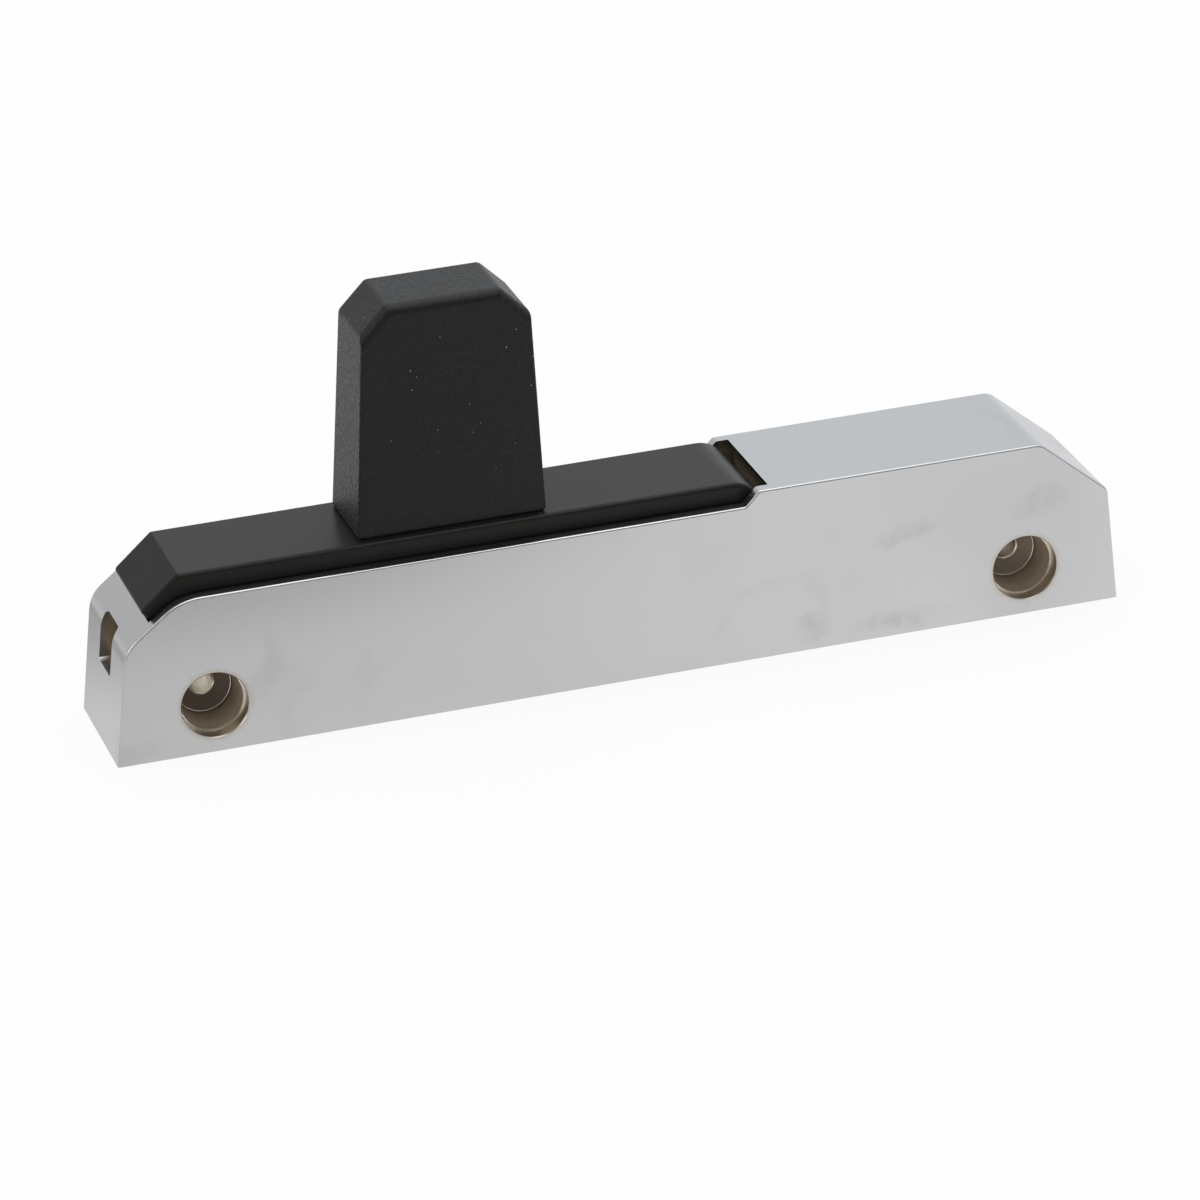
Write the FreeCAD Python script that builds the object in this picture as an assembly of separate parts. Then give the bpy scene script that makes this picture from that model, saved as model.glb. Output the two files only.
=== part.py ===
import FreeCAD, Part
import math
import os

# Cold room door handle: a chromed zinc housing with a black lever let into its top.
# All sizes are millimetres. X runs along the housing, Y through its depth and Z up.
# The origin is the middle of the underside. The grip end of the lever is at -X, the
# front broad face with the screw counterbores is at -Y, and the back face is at +Y.

# Housing outline, seen from the front
LENGTH = 235.0
DEPTH = 35.0
PLATEAU_Z = 40.6
LIP_Z = 37.2
CHAMFER_FOOT_Z = 27.1
LEFT_LEAN = 3.7
LEFT_CHAMFER_INSET = 16.9
LEFT_BEND_R = 8.0
LIP_BEND_R = 14.0
RIGHT_LEAN = 1.7
RIGHT_CHAMFER_INSET = 17.5
RIGHT_FOOT_R = 2.5
RIGHT_BEND_R = 4.0
GROOVE_X = 35.85
STEP_TO_GROOVE = 2.9
STEP_RUN = 3.4
STEP_R = 1.0
EDGE_R = 0.5

# Housing walls, ribs and bosses
WALL = 3.0
RIB = 3.0
LEFT_SCREW_INSET = 22.9
RIGHT_SCREW_INSET = 22.1
SCREW_Z = 11.1
SCREW_HOLE_R = 2.65
COUNTERBORE_R = 7.2
COUNTERBORE_FLOOR_R = 6.4
COUNTERBORE_DEPTH = 12.0
FLOOR_CONE = 1.6
CAP_SEAT_R = 7.65
CAP_SEAT_DEPTH = 3.8
RIM_CHAMFER = 0.2
SCREW_BOSS_R = 10.2
GROOVE_EDGE = 0.9
GROOVE_UNDERCUT = 1.0
RIGHT_RIB_X = 62.5
BUFFER_LEDGE_TOP_Z = 26.0
BUFFER_LEDGE_WIDTH = 10.0

# Slot in the left end
SLOT_WIDTH = 11.0
SLOT_LOW_Z = 16.6
SLOT_HIGH_Z = 28.1
SLOT_CORNER_R = 0.8
SLOT_REACH = 9.0

# Lever
LEVER_TOP_Z = 41.7
LEVER_BASE_Z = 30.0
LEVER_GAP = 0.8
LEVER_ROOF = 3.2
LEVER_FLANGE = 2.4
LEVER_RIB = 2.0
LEVER_RIB_DEPTH = 4.0
LEVER_RIB_XS = (-82.0, -66.0, -8.0)
LEVER_EDGE_R = 1.1
NOSE_INSET = 8.8
NOSE_Z = 34.1
NOSE_RUN = 8.9
NOSE_GAP = 0.35
NOSE_R = 0.8
END_GAP = 2.4
END_RUN = 3.4
END_DROP = 2.4
END_BEND_R = 7.5
END_R = 2.0

# Pivot of the lever
PIVOT_X = 24.0
PIVOT_BELOW_TOP = 9.3
PIVOT_PIN_R = 2.5
PIN_BORE_CLEARANCE = 0.02
PIN_COVER = 1.3
HUB_BOSS_R = 4.2
HUB_RELIEF_R = 4.6
BARREL_R = 6.0
BUSH_R = 3.5
BUSH_LENGTH = 4.0
BUSH_FLANGE_R = 4.6
BUSH_FLANGE = 0.8
SIDE_PLAY = 0.25
RUNNING_CLEARANCE = 0.05
FIT_CLEARANCE = 0.01

# Ears under the lever, and the pin that drives the catch
EAR = 3.0
EAR_SIDE_GAP = 0.8
GUSSET_REACH = 12.0
GUSSET_DROP = 8.0
GUSSET_STEP = 1.0
EAR_EYE_R = 3.8
DRIVE_ARM = 17.0
DRIVE_PIN_R = 2.0
LIFT_DEG = 18.0
CLIP_R = 3.6
CLIP = 0.6
CLIP_GROOVE = 0.4
CLIP_SIDE_GAP = 0.4
PIN_CHAMFER = 0.3

# Grip
GRIP_X = -36.6
GRIP_HEIGHT = 53.0
GRIP_FOOT_WIDTH = 43.4
GRIP_FOOT_DEPTH = 23.0
GRIP_TOP_DEPTH = 19.6
GRIP_LEFT_TAPER = 4.2
GRIP_RIGHT_TAPER = 0.4
GRIP_CHAMFER = 6.3
GRIP_CORNER_R = 2.0
GRIP_EDGE_R = 0.6
GRIP_SOFT_R = 2.4
GRIP_SPREAD = 4.0
GRIP_FOOT_STEP = 0.5
GRIP_FOOT_RISE = 0.6

# Screws that hold the grip
GRIP_SCREW_SPACING = 24.0
GRIP_SCREW_R = 2.5
GRIP_SCREW_REACH = 11.0
GRIP_BOSS_R = 5.5
GRIP_BOSS_DEPTH = 4.0
INSERT_R = 3.5
INSERT_LENGTH = 12.5
WASHER_R = 5.0
WASHER = 1.0
SCREW_HEAD_R = 4.3
SCREW_HEAD = 3.0
SOCKET_WIDTH = 3.0
SOCKET_SHARE = 2 / 3

# Base plate and its screws
PLATE_LOW_Z = 2.6
PLATE = 2.0
PLATE_GAP = 0.2
PLATE_OVERHANG = 2.4
MOUTH_LEFT_X = -12.0
MOUTH_RIGHT_X = 14.0
MOUTH_WIDTH = 14.0
MOUTH_CORNER_R = 3.0
PLATE_CORNER_R = 1.0
PLATE_SCREW_INSET = 5.15
PLATE_SCREW_R = 2.0
PLATE_SCREW_DEPTH = 7.0
PLATE_SCREW_REACH = 6.0
PLATE_HEAD_R = 3.7
PLATE_HEAD = 2.0
PLATE_HEAD_CHAMFER = 0.7
BEARING_RIB = 6.0

# Catch carriage, roller and slide rails
CARRIAGE_SHEET = 2.0
CARRIAGE_LEFT_X = -26.0
CARRIAGE_TOP_Z = 21.0
CARRIAGE_END = 3.0
CARRIAGE_CORNER_R = 2.5
BRIDGE = 3.0
SLOT_CLEARANCE = 0.15
SLIDE_CLEARANCE = 0.2
ROLLER_X = -5.0
ROLLER_Z = 14.2
ROLLER_R = 5.2
ROLLER_CHAMFER = 0.6
CATCH_PIN_R = 2.5
ROLLER_WASHER = 1.0
ROLLER_WASHER_R = 4.2
RAIL_LEFT_X = -34.0
RAIL_RIGHT_X = 31.0
RAIL_LIP = 1.8
RAIL_BACK = 2.85
RAIL_PEG_R = 1.5
RAIL_PEG_INSET = 5.0
RAIL_PEG_EDGE = 0.5

# Return spring of the catch
SPRING_RIB_X = -59.0
ROD_Z = 13.5
ROD_R = 2.75
ROD_TIP_X = -20.0
ROD_HEAD_R = 4.5
ROD_HEAD = 3.4
ROD_CHAMFER = 0.6
ROD_CLEARANCE = 0.1
SPRING_R = 5.0
SPRING_WIRE_R = 0.65
SPRING_TURNS = 8
SPRING_STEPS = 12
SPRING_SIDES = 8

# Rubber buffers under the lever
BUFFER_LENGTH = 8.0
BUFFER_WIDTH = 4.0
BUFFER_GAP = 0.3
BUFFER_PEG_R = 1.5
BUFFER_PEG = 2.4
BUFFER_EDGE_R = 0.6

# How far a cutting shape runs past what it cuts, and how near two places count as one
CUT_MARGIN = 1.0
NEAR = 0.01

# Places that follow from the driving dimensions
HALF_LENGTH = LENGTH / 2
HALF_DEPTH = DEPTH / 2
INNER_Y = HALF_DEPTH - WALL
LEVER_Y = INNER_Y - LEVER_GAP
PIVOT_Z = LEVER_TOP_Z - PIVOT_BELOW_TOP
DRIVE_Z = PIVOT_Z - DRIVE_ARM
LEVER_END_X = GROOVE_X - END_GAP
STEP_TOP_X = GROOVE_X - STEP_TO_GROOVE
ROOF_Z = LEVER_TOP_Z - LEVER_ROOF
PLATE_TOP_Z = PLATE_LOW_Z + PLATE
GROOVE_RIB_X = GROOVE_X + GROOVE_UNDERCUT + BEARING_RIB / 2
SCREW_XS = (-HALF_LENGTH + LEFT_SCREW_INSET, HALF_LENGTH - RIGHT_SCREW_INSET)
PLATE_SCREW_XS = (SPRING_RIB_X, GROOVE_RIB_X)
PLATE_SCREW_Y = INNER_Y - PLATE_SCREW_INSET
GRIP_SCREW_XS = (GRIP_X - GRIP_SCREW_SPACING / 2, GRIP_X + GRIP_SCREW_SPACING / 2)
BOSS_FACE_Z = ROOF_Z - GRIP_BOSS_DEPTH
RAIL_OUTER_Y = INNER_Y - SLIDE_CLEARANCE
CARRIAGE_OUTER_Y = RAIL_OUTER_Y - RAIL_BACK - SLIDE_CLEARANCE
CARRIAGE_INNER_Y = CARRIAGE_OUTER_Y - CARRIAGE_SHEET
EAR_OUTER_Y = CARRIAGE_INNER_Y - EAR_SIDE_GAP
EAR_INNER_Y = EAR_OUTER_Y - EAR
HUB_BOSS_Y = EAR_OUTER_Y + BUSH_FLANGE + SIDE_PLAY
SPRING_LEFT_X = SPRING_RIB_X + BEARING_RIB / 2
CARRIAGE_LOW_Z = PLATE_TOP_Z + RAIL_LIP + SLIDE_CLEARANCE
CARRIAGE_RIGHT_X = PIVOT_X + DRIVE_PIN_R + SLOT_CLEARANCE + CARRIAGE_END
RAIL_TOP_Z = CARRIAGE_TOP_Z + SLIDE_CLEARANCE + RAIL_LIP
SIDES = (-1, 1)


def rounded_outline(corners):
    """Closed wire in the XZ plane through corners given as (x, z, radius)."""
    points = [FreeCAD.Vector(x, 0, z) for x, z, _ in corners]
    edges = []
    starts = []
    ends = []
    for index, corner in enumerate(points):
        radius = corners[index][2]
        back = (points[index - 1] - corner).normalize()
        ahead = (points[(index + 1) % len(points)] - corner).normalize()
        half = back.getAngle(ahead) / 2
        reach = radius / math.tan(half)
        starts.append(corner + back * reach)
        ends.append(corner + ahead * reach)
        if radius > 0:
            to_centre = (back + ahead).normalize()
            middle = corner + to_centre * (radius / math.sin(half) - radius)
            edges.append(Part.Arc(starts[index], middle, ends[index]).toShape())
    for index in range(len(points)):
        line_start = ends[index]
        line_end = starts[(index + 1) % len(points)]
        edges.append(Part.LineSegment(line_start, line_end).toShape())
    return Part.Wire(Part.__sortEdges__(edges))


def inset_corners(corners, inset):
    """Corners of the outline moved inwards by the same distance on each side.

    The corners run anticlockwise as seen from the front.
    """
    moved = []
    for index, (x, z, radius) in enumerate(corners):
        before = corners[index - 1]
        after = corners[(index + 1) % len(corners)]
        angle_in = math.atan2(z - before[1], x - before[0])
        angle_out = math.atan2(after[1] - z, after[0] - x)
        half_turn = (angle_out - angle_in) / 2
        middle = angle_in + half_turn
        reach = inset / math.cos(half_turn)
        new_x = x - math.sin(middle) * reach
        new_z = z + math.cos(middle) * reach
        moved.append((new_x, new_z, max(radius - inset, 0.0)))
    return moved


def slab(corners, low_y, high_y):
    """Outline in the XZ plane pushed through from low_y to high_y."""
    face = Part.Face(rounded_outline(corners))
    face.translate(FreeCAD.Vector(0, low_y, 0))
    return face.extrude(FreeCAD.Vector(0, high_y - low_y, 0))


def block(low_x, high_x, low_y, high_y, low_z, high_z):
    corner = FreeCAD.Vector(low_x, low_y, low_z)
    return Part.makeBox(high_x - low_x, high_y - low_y, high_z - low_z, corner)


def round_x(y, z, radius, low_x, high_x):
    """Round bar along X."""
    start = FreeCAD.Vector(low_x, y, z)
    return Part.makeCylinder(radius, high_x - low_x, start, FreeCAD.Vector(1, 0, 0))


def round_y(x, z, radius, low_y, high_y):
    """Round bar along Y."""
    start = FreeCAD.Vector(x, low_y, z)
    return Part.makeCylinder(radius, high_y - low_y, start, FreeCAD.Vector(0, 1, 0))


def cone_y(x, z, near_r, far_r, low_y, length):
    """Cone along Y, from near_r at low_y to far_r."""
    start = FreeCAD.Vector(x, low_y, z)
    return Part.makeCone(near_r, far_r, length, start, FreeCAD.Vector(0, 1, 0))


def round_z(x, y, radius, low_z, high_z):
    """Round bar along Z."""
    start = FreeCAD.Vector(x, y, low_z)
    return Part.makeCylinder(radius, high_z - low_z, start, FreeCAD.Vector(0, 0, 1))


def hexagon_z(x, y, width, low_z, high_z):
    """Hexagonal bar along Z, measured across its flats."""
    corner_r = width / math.sqrt(3)
    points = []
    for step in range(7):
        angle = math.radians(60 * step)
        points.append(FreeCAD.Vector(x + corner_r * math.cos(angle), y + corner_r * math.sin(angle), low_z))
    face = Part.Face(Part.makePolygon(points))
    return face.extrude(FreeCAD.Vector(0, 0, high_z - low_z))


def mirrored(low, high, side):
    """The range from low to high on the given side of the middle plane."""
    return (low, high) if side > 0 else (-high, -low)


def housing_corners():
    return [
        (-HALF_LENGTH, 0.0, 0.0),
        (HALF_LENGTH, 0.0, 0.0),
        (HALF_LENGTH - RIGHT_LEAN, CHAMFER_FOOT_Z, RIGHT_FOOT_R),
        (HALF_LENGTH - RIGHT_CHAMFER_INSET, PLATEAU_Z, RIGHT_BEND_R),
        (STEP_TOP_X, PLATEAU_Z, STEP_R),
        (STEP_TOP_X - STEP_RUN, LIP_Z, STEP_R),
        (-HALF_LENGTH + LEFT_CHAMFER_INSET, LIP_Z, LIP_BEND_R),
        (-HALF_LENGTH + LEFT_LEAN, CHAMFER_FOOT_Z, LEFT_BEND_R),
    ]


def nose_line():
    """Unit vectors up the lever's end chamfer and square to it, into the housing."""
    along = FreeCAD.Vector(NOSE_RUN, 0, LEVER_TOP_Z - NOSE_Z).normalize()
    inwards = FreeCAD.Vector(along.z, 0, -along.x)
    return along, inwards


def nose_point(z, gap):
    """Point on the lever's nose face at height z, moved out of the lever by gap."""
    along, inwards = nose_line()
    start = FreeCAD.Vector(-HALF_LENGTH + NOSE_INSET, 0, NOSE_Z) - along * gap
    return start + inwards * ((start.z - z) / -inwards.z)


def recess_cut():
    """Opening in the housing's top that the lever lies in."""
    low_z = LEVER_BASE_Z - LEVER_ROOF
    high_z = LEVER_TOP_Z + LEVER_ROOF
    low = nose_point(low_z, NOSE_GAP)
    high = nose_point(high_z, NOSE_GAP)
    corners = [
        (low.x, low_z, 0.0),
        (GROOVE_X, low_z, 0.0),
        (GROOVE_X, high_z, 0.0),
        (high.x, high_z, 0.0),
    ]
    return slab(corners, -INNER_Y, INNER_Y)


def screw_hole_cut(x):
    """Through hole, tapered counterbore with a coned floor, and cap seat of one fixing screw."""
    seat_y = -HALF_DEPTH + CAP_SEAT_DEPTH
    floor_y = -HALF_DEPTH + COUNTERBORE_DEPTH
    hole = round_y(x, SCREW_Z, SCREW_HOLE_R, -HALF_DEPTH, HALF_DEPTH)
    seat = round_y(x, SCREW_Z, CAP_SEAT_R, -HALF_DEPTH, seat_y)
    rim = cone_y(x, SCREW_Z, CAP_SEAT_R + RIM_CHAMFER, CAP_SEAT_R, -HALF_DEPTH, RIM_CHAMFER)
    bore = cone_y(x, SCREW_Z, COUNTERBORE_R, COUNTERBORE_FLOOR_R, seat_y, floor_y - seat_y)
    floor = cone_y(x, SCREW_Z, COUNTERBORE_FLOOR_R, SCREW_HOLE_R, floor_y, FLOOR_CONE)
    return hole.fuse([seat, rim, bore, floor])


def end_slot_cut():
    half = SLOT_WIDTH / 2
    box = block(-HALF_LENGTH - WALL, -HALF_LENGTH + SLOT_REACH, -half, half, SLOT_LOW_Z, SLOT_HIGH_Z)
    long_edges = [edge for edge in box.Edges if abs(edge.tangentAt(0).x) > 0.9]
    return box.makeFillet(SLOT_CORNER_R, long_edges)


def buffer_place(side):
    """Middle of a buffer across the housing, on the line of the lever's flange."""
    return side * (LEVER_Y - BUFFER_WIDTH / 2)


def housing_inside():
    """Ribs and bosses that stand between the housing's side walls."""
    left_x, right_x = SCREW_XS
    pieces = []
    for x in SCREW_XS:
        pieces.append(round_y(x, SCREW_Z, SCREW_BOSS_R, -INNER_Y, INNER_Y))
    ledge_low_z = BUFFER_LEDGE_TOP_Z - RIB
    ledge_half = BUFFER_LEDGE_WIDTH / 2
    pieces.append(block(left_x - RIB / 2, left_x + RIB / 2, -INNER_Y, INNER_Y, SCREW_Z, ledge_low_z))
    pieces.append(block(left_x - ledge_half, left_x + ledge_half, -INNER_Y, INNER_Y,
                        ledge_low_z, BUFFER_LEDGE_TOP_Z))
    roof_z = PLATEAU_Z - WALL
    for x, low_z in ((right_x, SCREW_Z), (RIGHT_RIB_X, 0.0)):
        pieces.append(block(x - RIB / 2, x + RIB / 2, -INNER_Y, INNER_Y, low_z, roof_z))
    half = BEARING_RIB / 2
    pieces.append(block(SPRING_RIB_X - half, SPRING_RIB_X + half, -INNER_Y, INNER_Y,
                        PLATE_TOP_Z, RAIL_TOP_Z))
    pieces.append(block(GROOVE_RIB_X - half, GROOVE_RIB_X + half, -INNER_Y, INNER_Y, PLATE_TOP_Z, roof_z))
    for side in SIDES:
        low_y, high_y = mirrored(HUB_BOSS_Y, INNER_Y, side)
        pieces.append(round_y(PIVOT_X, PIVOT_Z, HUB_BOSS_R, low_y, high_y))
        low_y, high_y = mirrored(INNER_Y - RAIL_LIP, INNER_Y, side)
        ledge_z = RAIL_TOP_Z + SLIDE_CLEARANCE
        pieces.append(block(RAIL_LEFT_X, RAIL_RIGHT_X, low_y, high_y, ledge_z, ledge_z + RAIL_LIP))
    return pieces


def housing():
    """Chromed zinc casting: a trough open underneath, with ribs and bosses inside."""
    corners = housing_corners()
    body = slab(corners, -HALF_DEPTH, HALF_DEPTH)
    outer_edges = []
    for edge in body.Edges:
        ys = [vertex.Y for vertex in edge.Vertexes]
        zs = [vertex.Z for vertex in edge.Vertexes]
        if abs(ys[0] - ys[-1]) < NEAR and max(zs) > NEAR:
            outer_edges.append(edge)
    body = body.makeFillet(EDGE_R, outer_edges)

    hollow_corners = inset_corners(corners, WALL)
    for index in (0, 1):
        hollow_corners[index] = (hollow_corners[index][0], -WALL, 0.0)
    hollow = slab(hollow_corners, -INNER_Y, INNER_Y)
    shell = body.cut(hollow).cut(recess_cut()).cut(end_slot_cut())
    undercut = block(GROOVE_X, GROOVE_X + GROOVE_UNDERCUT, -INNER_Y, INNER_Y,
                     LEVER_BASE_Z, PLATEAU_Z - GROOVE_EDGE)
    shell = shell.cut(undercut).fuse(housing_inside())

    holes = [screw_hole_cut(x) for x in SCREW_XS]
    bore_r = PIVOT_PIN_R + PIN_BORE_CLEARANCE
    holes.append(round_y(PIVOT_X, PIVOT_Z, bore_r, -HALF_DEPTH + PIN_COVER, HALF_DEPTH))
    holes.append(round_x(0, ROD_Z, ROD_R + ROD_CLEARANCE,
                         SPRING_RIB_X - BEARING_RIB / 2, SPRING_RIB_X + BEARING_RIB / 2))
    for x in PLATE_SCREW_XS:
        for side in SIDES:
            holes.append(round_z(x, side * PLATE_SCREW_Y, PLATE_SCREW_R + FIT_CLEARANCE,
                                 PLATE_TOP_Z, PLATE_TOP_Z + PLATE_SCREW_DEPTH))
    for side in SIDES:
        holes.append(round_z(SCREW_XS[0], buffer_place(side), BUFFER_PEG_R + FIT_CLEARANCE,
                             BUFFER_LEDGE_TOP_Z - RIB, BUFFER_LEDGE_TOP_Z))
    for hole in holes:
        shell = shell.cut(hole)
    return shell.removeSplitter()


def lever_corners():
    nose_foot = nose_point(LEVER_BASE_Z, 0.0)
    nose_x = -HALF_LENGTH + NOSE_INSET
    return [
        (nose_foot.x, LEVER_BASE_Z, 0.0),
        (LEVER_END_X, LEVER_BASE_Z, 0.0),
        (LEVER_END_X, LEVER_TOP_Z - END_DROP, END_R),
        (LEVER_END_X - END_RUN, LEVER_TOP_Z, END_BEND_R),
        (nose_x + NOSE_RUN, LEVER_TOP_Z, NOSE_R),
        (nose_x, NOSE_Z, NOSE_R),
    ]


def ear(side):
    """Arm from the pivot down to the drive pin, tangent to both rounds."""
    low_y, high_y = mirrored(EAR_INNER_Y, EAR_OUTER_Y, side)
    lean = (BARREL_R - EAR_EYE_R) / DRIVE_ARM
    across = math.sqrt(1 - lean * lean)
    top_x, top_z = BARREL_R * across, PIVOT_Z - BARREL_R * lean
    foot_x, foot_z = EAR_EYE_R * across, DRIVE_Z - EAR_EYE_R * lean
    web = slab([
        (PIVOT_X - foot_x, foot_z, 0.0),
        (PIVOT_X + foot_x, foot_z, 0.0),
        (PIVOT_X + top_x, top_z, 0.0),
        (PIVOT_X - top_x, top_z, 0.0),
    ], low_y, high_y)
    eye = round_y(PIVOT_X, DRIVE_Z, EAR_EYE_R, low_y, high_y)
    gusset = slab([
        (PIVOT_X - BARREL_R + GUSSET_STEP, PIVOT_Z - GUSSET_DROP, 0.0),
        (PIVOT_X, PIVOT_Z, 0.0),
        (PIVOT_X, ROOF_Z + GUSSET_STEP, 0.0),
        (PIVOT_X - BARREL_R - GUSSET_REACH, ROOF_Z + GUSSET_STEP, 0.0),
        (PIVOT_X - BARREL_R - GUSSET_REACH, ROOF_Z, 0.0),
    ], low_y, high_y)
    return [web, eye, gusset]


def lever():
    """Black coated zinc casting of channel section, hinged at its right end."""
    corners = lever_corners()
    body = slab(corners, -LEVER_Y, LEVER_Y)
    top_edges = []
    for edge in body.Edges:
        ys = [vertex.Y for vertex in edge.Vertexes]
        zs = [vertex.Z for vertex in edge.Vertexes]
        if abs(ys[0] - ys[-1]) < NEAR and max(zs) > PIVOT_Z + NEAR:
            top_edges.append(edge)
    body = body.makeFillet(LEVER_EDGE_R, top_edges)

    channel_corners = inset_corners(corners, LEVER_ROOF)
    for index in (0, 1):
        channel_corners[index] = (channel_corners[index][0], LEVER_BASE_Z - CUT_MARGIN, 0.0)
    channel_y = LEVER_Y - LEVER_FLANGE
    body = body.cut(slab(channel_corners, -channel_y, channel_y))

    for side in SIDES:
        low_y, high_y = mirrored(channel_y - CUT_MARGIN, LEVER_Y, side)
        body = body.cut(round_y(PIVOT_X, PIVOT_Z, HUB_RELIEF_R, low_y, high_y))
        body = body.cut(block(PIVOT_X - HUB_RELIEF_R, PIVOT_X + HUB_RELIEF_R, low_y, high_y,
                              LEVER_BASE_Z - CUT_MARGIN, PIVOT_Z))

    added = [round_y(PIVOT_X, PIVOT_Z, BARREL_R, -EAR_OUTER_Y, EAR_OUTER_Y)]
    added.append(block(PIVOT_X - BUSH_FLANGE_R, PIVOT_X + BUSH_FLANGE_R, -EAR_OUTER_Y, EAR_OUTER_Y,
                       PIVOT_Z, ROOF_Z + GUSSET_STEP))
    for side in SIDES:
        added.extend(ear(side))
    for x in LEVER_RIB_XS:
        added.append(block(x - LEVER_RIB / 2, x + LEVER_RIB / 2, -channel_y, channel_y,
                           ROOF_Z - LEVER_RIB_DEPTH, ROOF_Z))
    for x in GRIP_SCREW_XS:
        added.append(round_z(x, 0, GRIP_BOSS_R, BOSS_FACE_Z, ROOF_Z))
    body = body.fuse(added)

    holes = [round_y(PIVOT_X, PIVOT_Z, PIVOT_PIN_R + SLIDE_CLEARANCE, -EAR_OUTER_Y, EAR_OUTER_Y)]
    for side in SIDES:
        low_y, high_y = mirrored(EAR_OUTER_Y - BUSH_LENGTH, EAR_OUTER_Y, side)
        holes.append(round_y(PIVOT_X, PIVOT_Z, BUSH_R + FIT_CLEARANCE, low_y, high_y))
    holes.append(round_y(PIVOT_X, DRIVE_Z, DRIVE_PIN_R + FIT_CLEARANCE, -EAR_OUTER_Y, EAR_OUTER_Y))
    for x in GRIP_SCREW_XS:
        holes.append(round_z(x, 0, GRIP_SCREW_R + SLIDE_CLEARANCE, BOSS_FACE_Z, LEVER_TOP_Z))
    for hole in holes:
        body = body.cut(hole)
    return body.removeSplitter()


def grip_front_corners(spread):
    """Outline of the grip from the front, with its sides moved out by spread."""
    left = GRIP_X - GRIP_FOOT_WIDTH / 2
    right = GRIP_X + GRIP_FOOT_WIDTH / 2
    top_z = LEVER_TOP_Z + GRIP_HEIGHT
    shoulder_z = top_z - GRIP_CHAMFER - spread
    top_left = left + GRIP_LEFT_TAPER + GRIP_CHAMFER
    top_right = right - GRIP_RIGHT_TAPER - GRIP_CHAMFER
    return [
        (left - spread, LEVER_TOP_Z, 0.0),
        (right + spread, LEVER_TOP_Z, 0.0),
        (right - GRIP_RIGHT_TAPER + spread, shoulder_z, GRIP_CORNER_R),
        (top_right, top_z, GRIP_CORNER_R),
        (top_left, top_z, GRIP_CORNER_R),
        (left + GRIP_LEFT_TAPER - spread, shoulder_z, GRIP_CORNER_R),
    ]


def grip_side_wedge():
    """Wedge that gives the grip its taper from foot to top, seen from the end."""
    foot = GRIP_FOOT_DEPTH / 2
    top = GRIP_TOP_DEPTH / 2
    top_z = LEVER_TOP_Z + GRIP_HEIGHT
    left = GRIP_X - GRIP_FOOT_WIDTH
    points = [
        FreeCAD.Vector(left, -foot, LEVER_TOP_Z),
        FreeCAD.Vector(left, foot, LEVER_TOP_Z),
        FreeCAD.Vector(left, top, top_z),
        FreeCAD.Vector(left, -top, top_z),
        FreeCAD.Vector(left, -foot, LEVER_TOP_Z),
    ]
    face = Part.Face(Part.makePolygon(points))
    return face.extrude(FreeCAD.Vector(2 * GRIP_FOOT_WIDTH, 0, 0))


def grip_body(spread, radius, sides):
    """Tapered paddle with the edges of its front, or of front and back, rounded."""
    foot = GRIP_FOOT_DEPTH / 2
    body = slab(grip_front_corners(spread), -foot, foot).common(grip_side_wedge())
    edges = []
    for edge in body.Edges:
        highest = max(vertex.Z for vertex in edge.Vertexes)
        middle = edge.valueAt((edge.FirstParameter + edge.LastParameter) / 2)
        on_flank = any(middle.y * side > GRIP_TOP_DEPTH / 2 - NEAR for side in sides)
        if on_flank and highest > LEVER_TOP_Z + NEAR:
            edges.append(edge)
    return body.makeFillet(radius, edges)


def grip():
    """Moulded black plastic paddle, softly rounded along the top of its front."""
    foot = GRIP_FOOT_DEPTH / 2
    body = grip_body(0.0, GRIP_EDGE_R, SIDES).common(grip_body(GRIP_SPREAD, GRIP_SOFT_R, (-1,)))

    left = GRIP_X - GRIP_FOOT_WIDTH / 2
    right = GRIP_X + GRIP_FOOT_WIDTH / 2
    step = GRIP_FOOT_STEP
    rise_z = LEVER_TOP_Z + GRIP_FOOT_RISE
    low_z = LEVER_TOP_Z - CUT_MARGIN
    outer = block(left - step, right + step, -foot - step, foot + step, low_z, rise_z)
    inner = block(left + step, right - step, -foot + step, foot - step, low_z, rise_z)
    body = body.cut(outer.cut(inner))
    for x in GRIP_SCREW_XS:
        body = body.cut(round_z(x, 0, INSERT_R + FIT_CLEARANCE, LEVER_TOP_Z, LEVER_TOP_Z + INSERT_LENGTH))
    return body


def grip_inserts():
    """Brass threaded inserts moulded into the grip's foot."""
    pieces = []
    for x in GRIP_SCREW_XS:
        sleeve = round_z(x, 0, INSERT_R, LEVER_TOP_Z, LEVER_TOP_Z + INSERT_LENGTH)
        pieces.append(sleeve.cut(round_z(x, 0, GRIP_SCREW_R + FIT_CLEARANCE,
                                         LEVER_TOP_Z, LEVER_TOP_Z + INSERT_LENGTH)))
    return Part.makeCompound(pieces)


def grip_screws():
    """Socket head screws from under the lever into the inserts."""
    pieces = []
    head_top_z = BOSS_FACE_Z - WASHER
    for x in GRIP_SCREW_XS:
        shank = round_z(x, 0, GRIP_SCREW_R, head_top_z, LEVER_TOP_Z + GRIP_SCREW_REACH)
        head = round_z(x, 0, SCREW_HEAD_R, head_top_z - SCREW_HEAD, head_top_z)
        head_low_z = head_top_z - SCREW_HEAD
        socket = hexagon_z(x, 0, SOCKET_WIDTH, head_low_z, head_low_z + SCREW_HEAD * SOCKET_SHARE)
        pieces.append(shank.fuse(head).cut(socket))
    return Part.makeCompound(pieces)


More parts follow.
